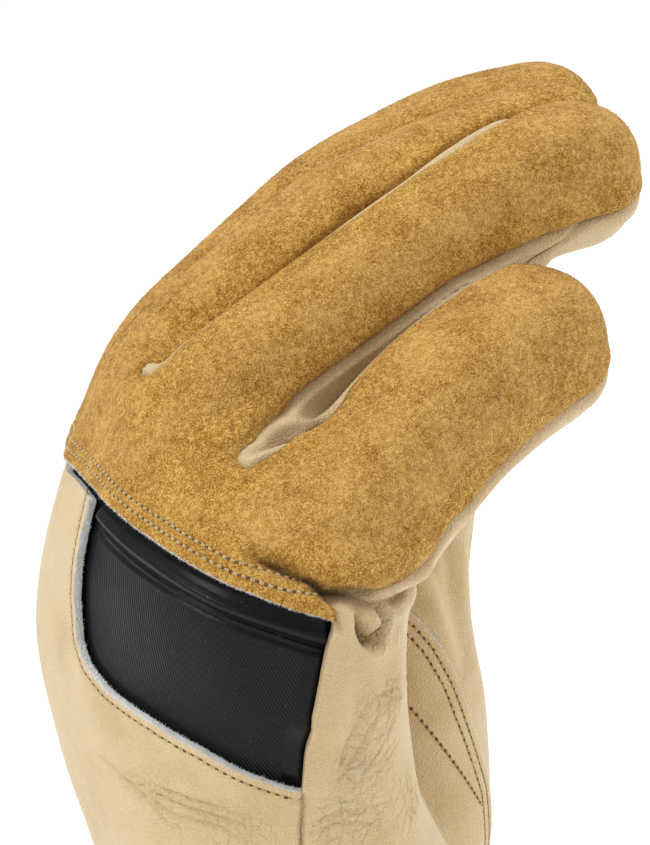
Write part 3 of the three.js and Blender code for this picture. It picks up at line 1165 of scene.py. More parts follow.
@dataclass(frozen=True)
class Leathers:
    """The colours of the materials, as light, and what makes them."""

    suede: Colour = (0.385, 0.19, 0.028)
    suede_dark: Colour = (0.2, 0.078, 0.01)
    suede_worn: Colour = (0.58, 0.37, 0.13)
    suede_light: Colour = (0.70, 0.45, 0.125)
    grain: Colour = (0.64, 0.485, 0.265)
    grain_dark: Colour = (0.50, 0.33, 0.135)
    grain_light: Colour = (0.70, 0.56, 0.36)
    raw: Colour = (0.86, 0.85, 0.81)
    rubber: Colour = (0.0075, 0.0075, 0.009)
    # painted shade, blended in by the deep value in narrow folds, along seams and at panel edges
    suede_deep: Colour = (0.05, 0.02, 0.004)
    grain_deep: Colour = (0.22, 0.12, 0.035)
    # painted highlight along the rubber's ribs
    rubber_rib: Colour = (0.02, 0.02, 0.023)
    rubber_dust: Colour = (0.25, 0.25, 0.24)
    rubber_back: Colour = (0.008, 0.008, 0.009)
    thread: tuple[Colour, Colour] = ((0.36, 0.24, 0.08), (0.62, 0.47, 0.24))
    # painted shade inside the needle holes
    hole: tuple[Colour, Colour] = ((0.06, 0.032, 0.01), (0.16, 0.09, 0.03))
    fibre: tuple[Colour, Colour] = ((0.78, 0.77, 0.73), (0.97, 0.96, 0.94))
    lint: tuple[Colour, Colour] = ((0.006, 0.006, 0.007), (0.035, 0.035, 0.038))

    def build(self, finish: Finish) -> bpy.types.Material:
        """The material of a finish."""
        return getattr(self, "_" + finish.name.lower())(Graph(finish.value))

    def _suede(self, g: Graph) -> bpy.types.Material:
        """Brushed split leather: a short nap in patches that lie one way or another.

        Args:
            g: the material's graph.

        Returns:
            The material.
        """
        at = g.place()
        fine = g.noise(at, 0.32, 2.0, 0.6)
        clump = g.noise(at, 1.1, 3.0, 0.6)
        patch = g.noise(at, 7.0, 3.0)
        tone = fine * 0.85 + clump * 0.45 + patch * 0.25 - 0.275
        colour = g.ramp(tone, [(0.32, self.suede_dark), (0.47, self.suede), (0.66, self.suede_light)])
        worn = g.step(g.value("rub") * 0.5 + patch * 1.2 + clump * 0.5, 0.95, 1.65)
        colour = g.blend(worn * 0.3, colour, self.suede_worn)
        raw = g.step(g.value("raw") + (fine - 0.5) * 0.6, 0.45, 0.75)
        colour = g.blend(raw, colour, self.raw)
        # painted shade in narrow folds, along seams and at the panel's edges
        colour = g.blend(g.value("deep") * 0.75, colour, self.suede_deep)
        normal = g.bump(fine * 0.6 + clump * 0.7, 0.0004, 0.75)
        return g.surface(
            Base_Color=colour, Roughness=0.95, Normal=normal, Sheen_Weight=0.08, Sheen_Roughness=0.5,
            Specular_IOR_Level=0.15,
        )

    def _grain(self, g: Graph) -> bpy.types.Material:
        """Smooth grain leather: fine pebbles, soft clouds of tone, creases darkened with painted shade, and
        pale cut edges.

        Args:
            g: the material's graph.

        Returns:
            The material.
        """
        at = g.place()
        cell = g.node("TexVoronoi", {"feature": "DISTANCE_TO_EDGE"}, {"Vector": at, "Scale": 1.5})
        pores = g.step(cell, 0.0, 0.22)
        fine = g.noise(at, 0.5, 3.0)
        cloud = g.noise(at, 16.0, 3.0)
        tone = cloud * 0.38 + fine * 0.2 + 0.21
        colour = g.ramp(tone, [(0.33, self.grain_dark), (0.5, self.grain), (0.68, self.grain_light)])
        colour = g.blend((1.0 - pores) * 0.16, colour, self.grain_dark)
        crease = g.node(
            "TexNoise", {"noise_type": "RIDGED_MULTIFRACTAL"}, {"Vector": at, "Scale": 0.16, "Detail": 3.0}
        )
        long = g.node("VectorMath", {"operation": "MULTIPLY"}, {0: at, 1: (1.1, 1.1, 0.7)})
        bent = g.node("VectorMath", {"operation": "ADD"}, {0: long, 1: g.noise(at, 3.0, 2.0) * 2.2})
        net = g.node("TexVoronoi", {"feature": "DISTANCE_TO_EDGE"}, {"Vector": bent, "Scale": 0.36})
        line = (1.0 - g.step(net, 0.0, 0.16)) * g.step(g.value("crease") + cloud * 0.5, 0.35, 1.1)
        # painted shade: the crease lines are darkened in colour as well as bumped
        colour = g.blend(line * 0.2, colour, self.grain_dark)
        raw = g.step(g.value("raw") + (fine - 0.5) * 0.6, 0.45, 0.75)
        colour = g.blend(raw, colour, self.raw)
        # painted shade in narrow folds, along seams and at the panel's edges
        colour = g.blend(g.value("deep") * 0.8, colour, self.grain_deep)
        normal = g.bump(pores * 0.6 + fine * 0.7, 0.00022, 0.8)
        normal = g.bump(crease * 0.3 - line * 1.4, 0.0004, 0.5, normal)
        rough = fine * 0.14 + 0.44
        return g.surface(
            Base_Color=colour, Roughness=rough, Normal=normal, Specular_IOR_Level=0.35, Sheen_Weight=0.12,
            Sheen_Roughness=0.4,
        )

    def _rubber(self, g: Graph) -> bpy.types.Material:
        """Black rubber with fine slanting ribs in its middle, striped with painted highlights, and a smooth
        margin.

        Args:
            g: the material's graph.

        Returns:
            The material.
        """
        at = g.place()
        dust = g.step(g.noise(at, 0.45, 1.0), 0.73, 0.78)
        rib = g.value("rib").math("SINE") * 0.5 + 0.5
        mask = g.value("ribbed")
        fuzz = g.value("backing")
        grainy = g.noise(at, 0.3, 2.0)
        # painted highlight: the ribs are striped lighter in colour as well as bumped
        colour = g.blend(rib * mask * 0.6, self.rubber, self.rubber_rib)
        colour = g.blend(dust * 0.3, colour, self.rubber_dust)
        colour = g.blend(fuzz, colour, self.rubber_back)
        normal = g.bump(rib * mask, 0.0002, 0.8)
        normal = g.bump(grainy * fuzz, 0.0005, 0.8, normal)
        rough = g.noise(at, 2.0) * 0.12 + 0.28 + fuzz * 0.55
        return g.surface(Base_Color=colour, Roughness=rough, Normal=normal, Specular_IOR_Level=0.14)

    @staticmethod
    def _flecked(
        g: Graph, size: float, detail: float, pair: tuple[Colour, Colour], **shader: float
    ) -> bpy.types.Material:
        """A material that varies between two colours.

        Args:
            g: the material's graph.
            size: the size of its flecks in millimetres.
            detail: how many finer layers they have.
            pair: the dark and the light colour.
            **shader: the shader's other inputs.

        Returns:
            The material.
        """
        tone = g.noise(g.place(), size, detail)
        colour = g.ramp(tone, [(0.3, pair[0]), (0.7, pair[1])])
        return g.surface(Base_Color=colour, **shader)

    def _thread(self, g: Graph) -> bpy.types.Material:
        """Tan sewing thread."""
        return self._flecked(g, 0.4, 2.0, self.thread, Roughness=0.7)

    def _hole(self, g: Graph) -> bpy.types.Material:
        """The shade inside a needle hole."""
        return self._flecked(g, 0.5, 1.0, self.hole, Roughness=0.95)

    def _fibre(self, g: Graph) -> bpy.types.Material:
        """Pale grey leather fibres at a cut edge."""
        return self._flecked(g, 1.2, 2.0, self.fibre, Roughness=0.9)

    def _lint(self, g: Graph) -> bpy.types.Material:
        """The black backing's loose fibres."""
        return self._flecked(g, 1.0, 2.0, self.lint, Roughness=0.95, Specular_IOR_Level=0.1)

    def _nap(self, g: Graph) -> bpy.types.Material:
        """Golden fibres that stand off the suede."""
        return self._flecked(g, 1.2, 2.0, (self.suede, self.suede_light), Roughness=0.95)


class Workshop:
    """Turns arrays into pieces of the scene, each dressed and riding on the glove."""

    def __init__(self) -> None:
        """Makes the materials."""
        leathers = Leathers()
        self.looks = {finish: leathers.build(finish) for finish in Finish}

    def piece(
        self,
        name: str,
        points: Array,
        faces: Array,
        finish: Finish,
        slot: str,
        nodes: tuple[str, ...] = (),
        values: dict[str, Array] | None = None,
    ) -> None:
        """Adds a mesh to the scene.

        Args:
            name: the piece's name.
            points: positions in millimetres.
            faces: triangles.
            finish: its material.
            slot: the record's material slot; not used.
            nodes: the CAD nodes that it stands for.
            values: values for its points.
        """
        mesh = bpy.data.meshes.new(name)
        mesh.vertices.add(len(points))
        mesh.vertices.foreach_set("co", (points / 1000.0).astype(np.float32).ravel())
        mesh.loops.add(faces.size)
        mesh.loops.foreach_set("vertex_index", faces.astype(np.int32).ravel())
        mesh.polygons.add(len(faces))
        mesh.polygons.foreach_set("loop_start", np.arange(0, faces.size, 3, dtype=np.int32))
        mesh.polygons.foreach_set("use_smooth", np.ones(len(faces), bool))
        for key, v in (values or {}).items():
            mesh.attributes.new(key, "FLOAT", "POINT").data.foreach_set("value", v.astype(np.float32))
        mesh.update()
        mesh.validate()
        mesh.materials.append(self.looks[finish])
        obj = bpy.data.objects.new(name, mesh)
        bpy.context.scene.collection.objects.link(obj)
        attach(obj, "root")
        if nodes:
            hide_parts(*nodes)
        LOG.info("%s: %d triangles", name, len(faces))


@dataclass(frozen=True)
class Panel:
    """A panel of the glove: a part of the skin, lifted by its relief and given a thickness."""

    name: str = "panel"
    thick: float = 1.4
    finish: Finish = Finish.GRAIN
    slot: str = "grain_leather"
    hollow_below: float = 60.0
    fine: bool = False

    def inside(self, v: dict[str, Array]) -> list[Array]:
        """The values that are above zero on the panel."""
        raise NotImplementedError

    def relief(self, v: dict[str, Array]) -> Array:
        """How far the panel's face stands off the skin."""
        raise NotImplementedError

    def raw(self, v: dict[str, Array]) -> Array:
        """How much each point belongs to a raw cut edge, from 0 to 1."""
        return np.zeros(len(v["edge"]))

    def extras(self, v: dict[str, Array], points: Array) -> dict[str, Array]:
        """More values for the material."""
        return {}

    def trim(self, face: Skin, shop: Workshop) -> None:
        """Adds the panel's stitches and fibres, where it has them."""

    def patch(self, skin: Skin) -> Skin:
        """The panel's part of the skin.

        Args:
            skin: the glove's skin.

        Returns:
            That part.
        """
        for k in range(len(self.inside(skin.values))):
            skin = skin.clipped(self.inside(skin.values)[k])
        if self.fine:
            skin = skin.refined(skin.values["edge"] > -8.5)
        return skin

    def build(self, skin: Skin, shop: Workshop) -> Skin:
        """Adds the panel to the scene.

        Args:
            skin: the glove's skin.
            shop: what makes its pieces.

        Returns:
            The panel's outer face, with its relief.
        """
        part = self.patch(skin)
        v = part.values
        lift = self.relief(v)
        outer = part.points + v["normal"] * lift[:, None]
        base = np.minimum(lift, 0.4 * lift.max() + 0.6 * lift.min()) if self.fine else lift
        inner = part.points + v["normal"] * (base - self.thick)[:, None]
        raw = self.raw(v)
        low = (part.points[part.faces][:, :, 2] < self.hollow_below).all(1)
        ends = part.edge()
        n = len(outer)
        rim, index = np.unique(ends, return_inverse=True)
        index = index.reshape(ends.shape)
        a, b = index.T
        m = len(rim)
        top = 2 * n
        wall = np.concatenate([
            np.stack([b + top, a + top, a + top + m], 1),
            np.stack([b + top, a + top + m, b + top + m], 1),
        ])
        points = np.concatenate([outer, inner, outer[rim], inner[rim]])
        faces = np.concatenate([part.faces, part.faces[low][:, ::-1] + n, wall])
        values = {"raw": np.concatenate([0 * raw, 0 * raw, raw[rim], raw[rim]])}
        values["crease"] = np.concatenate([v["crease"], v["crease"], v["crease"][rim], v["crease"][rim]])
        # painted shade in folds and seams on both faces and the wall; the wall's inner edge gets at least 0.3
        # of it
        values["deep"] = np.tile(v["deep"], 2)
        values["deep"] = np.concatenate([values["deep"], v["deep"][rim], np.maximum(v["deep"][rim], 0.3)])
        for key, value in self.extras(v, part.points).items():
            values[key] = np.concatenate([value, value, value[rim], value[rim]])
        used, faces_in = np.unique(faces, return_inverse=True)
        shop.piece(
            self.name + "_panel",
            points[used],
            faces_in.reshape(faces.shape),
            self.finish,
            self.slot,
            (self.name,),
            {key: value[used] for key, value in values.items()},
        )
        face = Skin(outer, part.faces, dict(v))
        face.values["normal"] = face.normals()
        return face


def not_suede(v: dict[str, Array]) -> Array:
    """Above zero where the suede doesn't reach."""
    return -np.minimum(v["edge"], v["dorsal"])


def gusset(v: dict[str, Array]) -> Array:
    """Above zero in any of the gussets."""
    return np.maximum.reduce([v["gusset_0"], v["gusset_1"], v["gusset_2"]])


@dataclass(frozen=True)
class BackSuede(Panel):
    """The suede over the finger backs and the knuckles, with a raw, double-stitched lower edge."""

    name: str = "back_suede"
    thick: float = 1.5
    finish: Finish = Finish.SUEDE
    slot: str = "suede"
    rows: tuple[float, float] = (1.9, 3.5)
    hairs: int = 110000

    def inside(self, v: dict[str, Array]) -> list[Array]:
        """Above the lower edge and over the middles of the fingers."""
        return [v["edge"], v["dorsal"], -v["thumb"]]

    def relief(self, v: dict[str, Array]) -> Array:
        """Raised over the strap, turned down at the finger seams, dimpled along the stitches.

        Args:
            v: the skin's values at the panel's points.

        Returns:
            How far each point is lifted.
        """
        e, d = v["edge"], v["dorsal"]
        lift = 0.45 + 0.75 * (1 - smooth(e, 0.0, 10.0))
        for row in self.rows:
            lift -= 0.22 * ridge(e, row, 0.5)
        lift += 0.2 * ridge(e, sum(self.rows) / 2, 0.6)
        side = smooth(v["edge"], 0.0, 3.0)
        lift += side * (0.35 * ridge(d, 2.6, 1.8) - 1.1 * ridge(d, 0.0, 0.8))
        return lift

    def extras(self, v: dict[str, Array], points: Array) -> dict[str, Array]:
        """Where hands rub it paler: away from its seams."""
        return {"rub": smooth(np.minimum(v["dorsal"], v["edge"]), 2.0, 9.0)}

    def raw(self, v: dict[str, Array]) -> Array:
        """The lower edge is cut raw."""
        return (v["edge"] < 0.65).astype(float)

    def trim(self, face: Skin, shop: Workshop) -> None:
        """Adds two rows of stitches, the raw edge's fibres and the nap.

        Args:
            face: the panel's outer face.
            shop: what makes the pieces.
        """
        sewing, fuzz = Sewing(), Fuzz()
        edge, dorsal = face.values["edge"], face.values["dorsal"]
        rows = [sewing.frames(face, edge, row, dorsal - 1.5) for row in self.rows]
        sewing.sew(self.name, rows, self.slot, shop)
        mesh = fuzz.along(face, edge, dorsal - 0.5, self.thick)
        shop.piece(self.name + "_edge_fibres", *mesh, Finish.FIBRE, self.slot)
        shop.piece(self.name + "_nap", *fuzz.nap(face, self.hairs), Finish.NAP, self.slot)


@dataclass(frozen=True)
class Gusset(Panel):
    """A strip of leather between two fingers."""

    which: int = 0

    def inside(self, v: dict[str, Array]) -> list[Array]:
        """Between two fingers, below their suede."""
        return [not_suede(v), v[f"gusset_{self.which}"]]

    def relief(self, v: dict[str, Array]) -> Array:
        """Rolled along the suede's edge and turned down at the palm's.

        Args:
            v: the skin's values at the panel's points.

        Returns:
            How far each point is lifted.
        """
        d = not_suede(v)
        g = v[f"gusset_{self.which}"]
        return 0.75 * ridge(d, 1.7, 1.1) - 0.9 * ridge(d, 0.0, 0.6) - 0.5 * ridge(g, 0.0, 0.6)


@dataclass(frozen=True)
class Palm(Panel):
    """The palm, the undersides of the fingers and the wrap round the little finger's side."""

    name: str = "palm"
    hollow_below: float = 40.0

    def inside(self, v: dict[str, Array]) -> list[Array]:
        """What the other panels leave."""
        behind = np.minimum(v["seam"], -v["edge"])
        return [not_suede(v), -behind, -gusset(v), -v["thumb"], v["height"]]

    def relief(self, v: dict[str, Array]) -> Array:
        """Rolled under the suede, turned down at the seams.

        Args:
            v: the skin's values at the panel's points.

        Returns:
            How far each point is lifted.
        """
        d = not_suede(v)
        lift = 0.75 * ridge(d, 2.0, 1.5) - 0.9 * ridge(d, 0.0, 0.6)
        seam = np.where(v["edge"] < 2.0, -v["seam"], FAR)
        beside = smooth(v["window"], -1.5, 1.0)
        lift += (0.45 - 0.9 * beside) * -ridge(seam, 0.0, 0.7) + 0.25 * ridge(seam, 1.6, 1.2)
        lift -= 0.45 * ridge(gusset(v), 0.0, 0.6) + 0.8 * ridge(v["thumb"], 0.0, 0.9)
        return lift


@dataclass(frozen=True)
class HandBack(Panel):
    """The back of the hand below the strap, with a raw, stitched edge over the strap."""

    name: str = "hand_back"
    row: float = 1.6

    def inside(self, v: dict[str, Array]) -> list[Array]:
        """Behind the side seams, below the suede and outside the strap's window."""
        short = 2.1 * smooth(v["window"], -17.0, -12.0) * (v["side_y"] < 30)
        return [v["seam"], 1.2 * (short == 0) - v["edge"] - short, -v["window"], v["height"]]

    def relief(self, v: dict[str, Array]) -> Array:
        """Raised over the strap, dimpled along its stitches, turned down at the side seam.

        Args:
            v: the skin's values at the panel's points.

        Returns:
            How far each point is lifted.
        """
        w = -v["window"]
        over = (1 - smooth(w, 0.0, 7.0)) * smooth(-v["edge"], -2.0, 1.0)
        lift = 0.1 + 0.75 * over - 0.25 * ridge(w, self.row, 0.45)
        return lift - 0.75 * ridge(v["seam"], 0.0, 0.6)

    def raw(self, v: dict[str, Array]) -> Array:
        """Its edges at the strap are cut raw."""
        return ((v["window"] > -0.6) | (v["edge"] > -2.2)).astype(float)

    def trim(self, face: Skin, shop: Workshop) -> None:
        """Adds a row of stitches and fibres along the edge over the strap.

        Args:
            face: the panel's outer face.
            shop: what makes the pieces.
        """
        sewing, fuzz = Sewing(), Fuzz()
        across = -face.values["window"]
        keep = -face.values["edge"] - 2.0
        sewing.sew(self.name, [sewing.frames(face, across, self.row, keep)], self.slot, shop)
        mesh = fuzz.along(face, across, keep, self.thick)
        shop.piece(self.name + "_edge_fibres", *mesh, Finish.FIBRE, self.slot)


@dataclass(frozen=True)
class Strap(Panel):
    """The ribbed rubber panel over the back of the hand, with a raised rim along its top."""

    name: str = "knuckle_strap"
    thick: float = 1.4
    finish: Finish = Finish.RUBBER
    slot: str = "rubber"
    hollow_below: float = 0.0
    fine: bool = True
    pitch: float = 0.62
    hairs: int = 9000
    # the way across the strap, in x and y
    way: tuple[float, float] = (0.643, 0.766)

    def inside(self, v: dict[str, Array]) -> list[Array]:
        """The window, grown under the leather round it."""
        left = 19.0 - 15.0 * smooth(-v["edge"], 4.0, 8.0)
        return [v["window"] + left, 3.5 - v["edge"], v["seam"] + 2.5]

    def relief(self, v: dict[str, Array]) -> Array:
        """A rim with two grooves along the suede, and a slight crown.

        Args:
            v: the skin's values at the panel's points.

        Returns:
            How far each point is lifted.
        """
        e = -v["edge"]
        shown = smooth(v["window"], 0.3, 2.5) * smooth(v["seam"], -0.5, 1.0)
        rim = 1.15 * ridge(e, 3.7, 1.0) + 0.35 * smooth(e, 0.8, 2.2) * (1 - smooth(e, 4.6, 5.4))
        grooves = ridge(e, 5.2, 0.4) + ridge(e, 6.5, 0.35)
        margin = 0.25 * (1 - smooth(v["seam"], 2.6, 3.4)) * smooth(e, 5.0, 7.0)
        return -1.45 + shown * (0.45 + 0.9 * rim - 0.5 * grooves + margin)

    def extras(self, v: dict[str, Array], points: Array) -> dict[str, Array]:
        """Where the ribs run, and where the backing shows.

        Args:
            v: the skin's values at the panel's points.
            points: positions, one row each.

        Returns:
            Each value by its name.
        """
        across = points[:, 0] * self.way[0] - points[:, 1] * self.way[1]
        slant = across + (points[:, 2] - 125.0) * (0.06 + 0.011 * (across + 28.0))
        ribs = smooth(-v["edge"], 7.0, 7.6) * smooth(v["seam"], 3.2, 3.8)
        return {"rib": slant * 2 * math.pi / self.pitch, "ribbed": ribs, "backing": self.backing(v, points)}

    def backing(self, v: dict[str, Array], points: Array) -> Array:
        """How much the fuzzy backing shows beyond the rubber, from 0 to 1.

        Args:
            v: the skin's values at the panel's points.
            points: positions, one row each.

        Returns:
            One value for each point.
        """
        across = points[:, 0] * self.way[0] - points[:, 1] * self.way[1]
        band = 0.7 + 1.5 * smooth(-across, -18.0, 22.0)
        bare = 1 - smooth(-v["edge"] - band, 0.0, 0.5)
        return np.maximum(bare, 1 - smooth(v["window"], -2.0, 0.2))

    def trim(self, face: Skin, shop: Workshop) -> None:
        """Adds lint where the backing shows."""
        band = face.clipped(self.backing(face.values, face.points) - 0.5)
        shop.piece(self.name + "_lint", *Fuzz().nap(band, self.hairs), Finish.LINT, self.slot)


@dataclass(frozen=True)
class Thumb(Panel):
    """The thumb's tube of leather."""

    name: str = "thumb"

    def inside(self, v: dict[str, Array]) -> list[Array]:
        """Where the thumb stands outside the hand."""
        return [v["thumb"], v["height"]]

    def relief(self, v: dict[str, Array]) -> Array:
        """Turned down at the seam."""
        t = v["thumb"]
        return 0.3 * ridge(t, 2.5, 2.0) - 0.8 * ridge(t, 0.0, 0.9)


@dataclass(frozen=True)
class PalmPatch(Panel):
    """The second layer of leather over the palm and the thumb's base, with a raw, double-stitched edge."""

    name: str = "palm_patch"
    thick: float = 1.15
    hollow_below: float = 0.0
    rows: tuple[float, float] = (1.5, 3.3)
    # a point of the inner row in x and height, and the way across it with its length
    inner_at: tuple[float, float] = (33.0, 93.0)
    inner_way: tuple[float, float, float] = (22.0, 15.0, 26.6)

    def inside(self, v: dict[str, Array]) -> list[Array]:
        """Inside the patch's outline."""
        return [v["patch"]]

    def relief(self, v: dict[str, Array]) -> Array:
        """A layer up from the palm, dimpled along the stitches.

        Args:
            v: the skin's values at the panel's points.

        Returns:
            How far each point is lifted.
        """
        p = v["patch"]
        lift = np.full(len(p), 1.35)
        for row in self.rows:
            lift -= 0.2 * ridge(p, row, 0.5)
        return lift - 0.15 * ridge(p, 0.0, 0.5)

    def raw(self, v: dict[str, Array]) -> Array:
        """All its edges are cut raw."""
        return np.ones(len(v["patch"]))

    def trim(self, face: Skin, shop: Workshop) -> None:
        """Adds two rows of stitches along the edge, one row inside them, and the edge's fibres.

        Args:
            face: the panel's outer face.
            shop: what makes the pieces.
        """
        sewing, fuzz = Sewing(), Fuzz()
        patch = face.values["patch"]
        x, y, z = face.points.T
        rows = [sewing.frames(face, patch, row, x) for row in self.rows]
        (x0, z0), (dx, dz, size) = self.inner_at, self.inner_way
        slant = ((x - x0) * dx + (z - z0) * dz) / size
        keep = np.minimum.reduce([patch - 3.8, x - 31.5, 19.0 - y])
        rows.append(sewing.frames(face, slant, 0.0, keep))
        sewing.sew(self.name, rows, self.slot, shop)
        mesh = fuzz.along(face, patch, x, self.thick)
        shop.piece(self.name + "_edge_fibres", *mesh, Finish.FIBRE, self.slot)


@dataclass(frozen=True)
class Sewing:
    """Rows of stitches: each is a bit of thread between two needle holes."""

    pitch: float = 1.6
    length: float = 1.15
    thread: float = 0.29
    hole: float = 0.44

    def frames(self, face: Skin, f: Array, level: float, keep: Array) -> Array:
        """Stitch places along a row.

        Args:
            face: the panel's face.
            f: the value that the row follows.
            level: the row's level.
            keep: above zero where the row is sewn.

        Returns:
            Rows of position, normal and direction.
        """
        part = Skin(face.points, face.faces, {**face.values, "f": f}).clipped(keep)
        found = []
        for line in part.contour(part.values["f"], level):
            at = spaced(line, self.pitch)
            if len(at) > 3:
                along = unit(np.gradient(at[:, :3], axis=0))
                found.append(np.concatenate([at, along], 1))
        return np.concatenate(found) if found else np.zeros((0, 9))

    def stitches(self, at: Array) -> tuple[Array, Array]:
        """The threads of a row as capsules that sink in at their ends.

        Args:
            at: the frames of the stitches: position, normal and direction.

        Returns:
            Points and triangles.
        """
        ring, sides = 7, 6
        u = np.linspace(-1, 1, ring)
        r = self.thread * np.sqrt(np.maximum(1 - u**4, 0.02))
        angle = np.linspace(0, 2 * math.pi, sides, endpoint=False)
        x = np.repeat(u * self.length / 2, sides)
        y = (r[:, None] * np.cos(angle)).ravel()
        z = (r[:, None] * np.sin(angle)).ravel() - np.repeat(0.22 * u**2, sides) + 0.05
        faces = []
        for i in range(ring - 1):
            for j in range(sides):
                k = (j + 1) % sides
                a, b, c, d = i * sides + j, i * sides + k, (i + 1) * sides + k, (i + 1) * sides + j
                faces += [(a, b, c), (a, c, d)]
        return self._spread(at, np.stack([x, y, z], 1), np.array(faces)[:, ::-1])

    def holes(self, at: Array) -> tuple[Array, Array]:
        """The needle holes of a row, halfway between its threads, as small dark discs of painted shade.

        Args:
            at: the frames of the stitches: position, normal and direction.

        Returns:
            Points and triangles.
        """
        angle = np.linspace(0, 2 * math.pi, 9)[:-1]
        x = np.concatenate([[0], np.cos(angle) * self.hole * 1.15]) + self.pitch / 2
        y = np.concatenate([[0], np.sin(angle) * self.hole * 0.8])
        z = np.concatenate([[0.1], np.full(8, 0.02)])
        faces = np.array([(0, 1 + j, 1 + (j + 1) % 8) for j in range(8)])
        return self._spread(at, np.stack([x, y, z], 1), faces)

    @staticmethod
    def _spread(at: Array, points: Array, faces: Array) -> tuple[Array, Array]:
        """Copies of a small mesh at each frame.

        Args:
            at: the frames of the stitches: position, normal and direction.
            points: the small mesh's points: along, sideways and outward.
            faces: the small mesh's triangles.

        Returns:
            Points and triangles.
        """
        normal, along = at[:, 3:6], at[:, 6:9]
        side = unit(np.cross(normal, along))
        placed = (
            at[:, None, :3]
            + points[None, :, :1] * along[:, None]
            + points[None, :, 1:2] * side[:, None]
            + points[None, :, 2:] * normal[:, None]
        )
        shift = (np.arange(len(at)) * len(points))[:, None, None]
        return placed.reshape(-1, 3), (faces[None] + shift).reshape(-1, 3)

    def sew(self, name: str, rows: list[Array], slot: str, shop: Workshop) -> None:
        """Adds rows of stitches to the scene.

        Args:
            name: the panel's name.
            rows: the frames of each row.
            slot: the record's material slot.
            shop: what makes the pieces.
        """
        at = np.concatenate(rows)
        if not len(at):
            LOG.warning("%s has no stitches", name)
            return
        shop.piece(name + "_stitches", *self.stitches(at), Finish.THREAD, slot)
        shop.piece(name + "_needle_holes", *self.holes(at), Finish.HOLE, slot)


@dataclass(frozen=True)
class Fuzz:
    """Loose fibres: thin pointed hairs."""

    seed: int = 5
    per_mm: float = 60.0
    length: tuple[float, float] = (0.22, 0.75)
    radius: float = 0.06

    def hairs(self, root: Array, heading: Array, rng: np.random.Generator) -> tuple[Array, Array]:
        """Hairs from roots along headings.

        Args:
            root: where each starts.
            heading: which way each goes.
            rng: the source of chance.

        Returns:
            Points and triangles.
        """
        n = len(root)
        size = rng.uniform(*self.length, n)[:, None]
        tip = root + unit(heading) * size
        side = unit(np.cross(heading, rng.normal(size=(n, 3))))
        other = unit(np.cross(heading, side))
        corners = [root + (math.cos(a) * side + math.sin(a) * other) * self.radius for a in (0.0, 2.1, 4.2)]
        points = np.stack([*corners, tip], 1)
        faces = np.array([(0, 1, 3), (1, 2, 3), (2, 0, 3)])[None] + (np.arange(n) * 4)[:, None, None]
        return points.reshape(-1, 3), faces.reshape(-1, 3)

    def nap(self, face: Skin, count: int) -> tuple[Array, Array]:
        """Short hairs, one thin triangle each, leaning in patches all over a panel's face.

        Args:
            face: the panel's face.
            count: how many hairs.

        Returns:
            Points and triangles.
        """
        rng = np.random.default_rng(self.seed + 1)
        corners = face.points[face.faces]
        area = np.linalg.norm(np.cross(corners[:, 1] - corners[:, 0], corners[:, 2] - corners[:, 0]), axis=1)
        pick = rng.choice(len(area), count, p=area / area.sum())
        mix = rng.dirichlet((1.0, 1.0, 1.0), count)[:, :, None]
        root = (corners[pick] * mix).sum(1)
        normal = unit((face.values["normal"][face.faces[pick]] * mix).sum(1))
        sway = np.stack([np.sin(root @ v) for v in rng.normal(size=(3, 3)) * 0.35], 1)
        lean = sway * 0.9 + rng.normal(size=(count, 3)) * 0.8
        lean -= normal * (lean * normal).sum(1, keepdims=True)
        heading = unit(unit(lean) + normal * rng.uniform(0.25, 0.8, (count, 1)))
        size = rng.uniform(0.3, 0.62, (count, 1))
        side = unit(np.cross(heading, normal)) * 0.04
        points = np.stack([root - side, root + side, root + heading * size], 1)
        return points.reshape(-1, 3), np.arange(3 * count).reshape(-1, 3)

    def along(self, face: Skin, f: Array, keep: Array, depth: float) -> tuple[Array, Array]:
        """Hairs along a raw edge.

        Args:
            face: the panel's face.
            f: the distance from the edge.
            keep: above zero where the edge is raw.
            depth: the panel's thickness.

        Returns:
            Points and triangles.
        """
        rng = np.random.default_rng(self.seed)
        part = Skin(face.points, face.faces, {**face.values, "f": f}).clipped(keep)
        roots, headings = [], []
        for line in part.contour(part.values["f"], 0.06):
            at = spaced(line, 1.0 / self.per_mm)
            if len(at) < 8:
                continue
            along = unit(np.gradient(at[:, :3], axis=0))
            normal = at[:, 3:6]
            out = unit(np.cross(along, normal))
            out *= self._outward(part, at[:, :3], out)
            sink = rng.uniform(0.0, depth, len(at))[:, None]
            roots.append(at[:, :3] - normal * sink - out * 0.05)
            spin = rng.normal(size=(len(at), 3)) * 0.75
            headings.append(out * 0.8 + normal * (0.25 - 0.5 * sink / depth) + spin)
        root, heading = np.concatenate(roots), np.concatenate(headings)
        return self.hairs(root, heading, rng)

    @staticmethod
    def _outward(part: Skin, at: Array, out: Array) -> float:
        """Whether the sideways direction leaves the panel, 1, or enters it, -1.

        Args:
            part: the panel's face.
            at: the positions of a line on its edge.
            out: the sideways direction at each.

        Returns:
            1 or -1.
        """
        middle = at[len(at) // 2]
        gap = np.linalg.norm(part.points - middle, axis=1)
        near = np.argsort(gap)[:40]
        slope = (part.points[near] - middle) @ out[len(at) // 2]
        f = part.values["f"][near]
        return -1.0 if ((slope - slope.mean()) * (f - f.mean())).sum() > 0 else 1.0


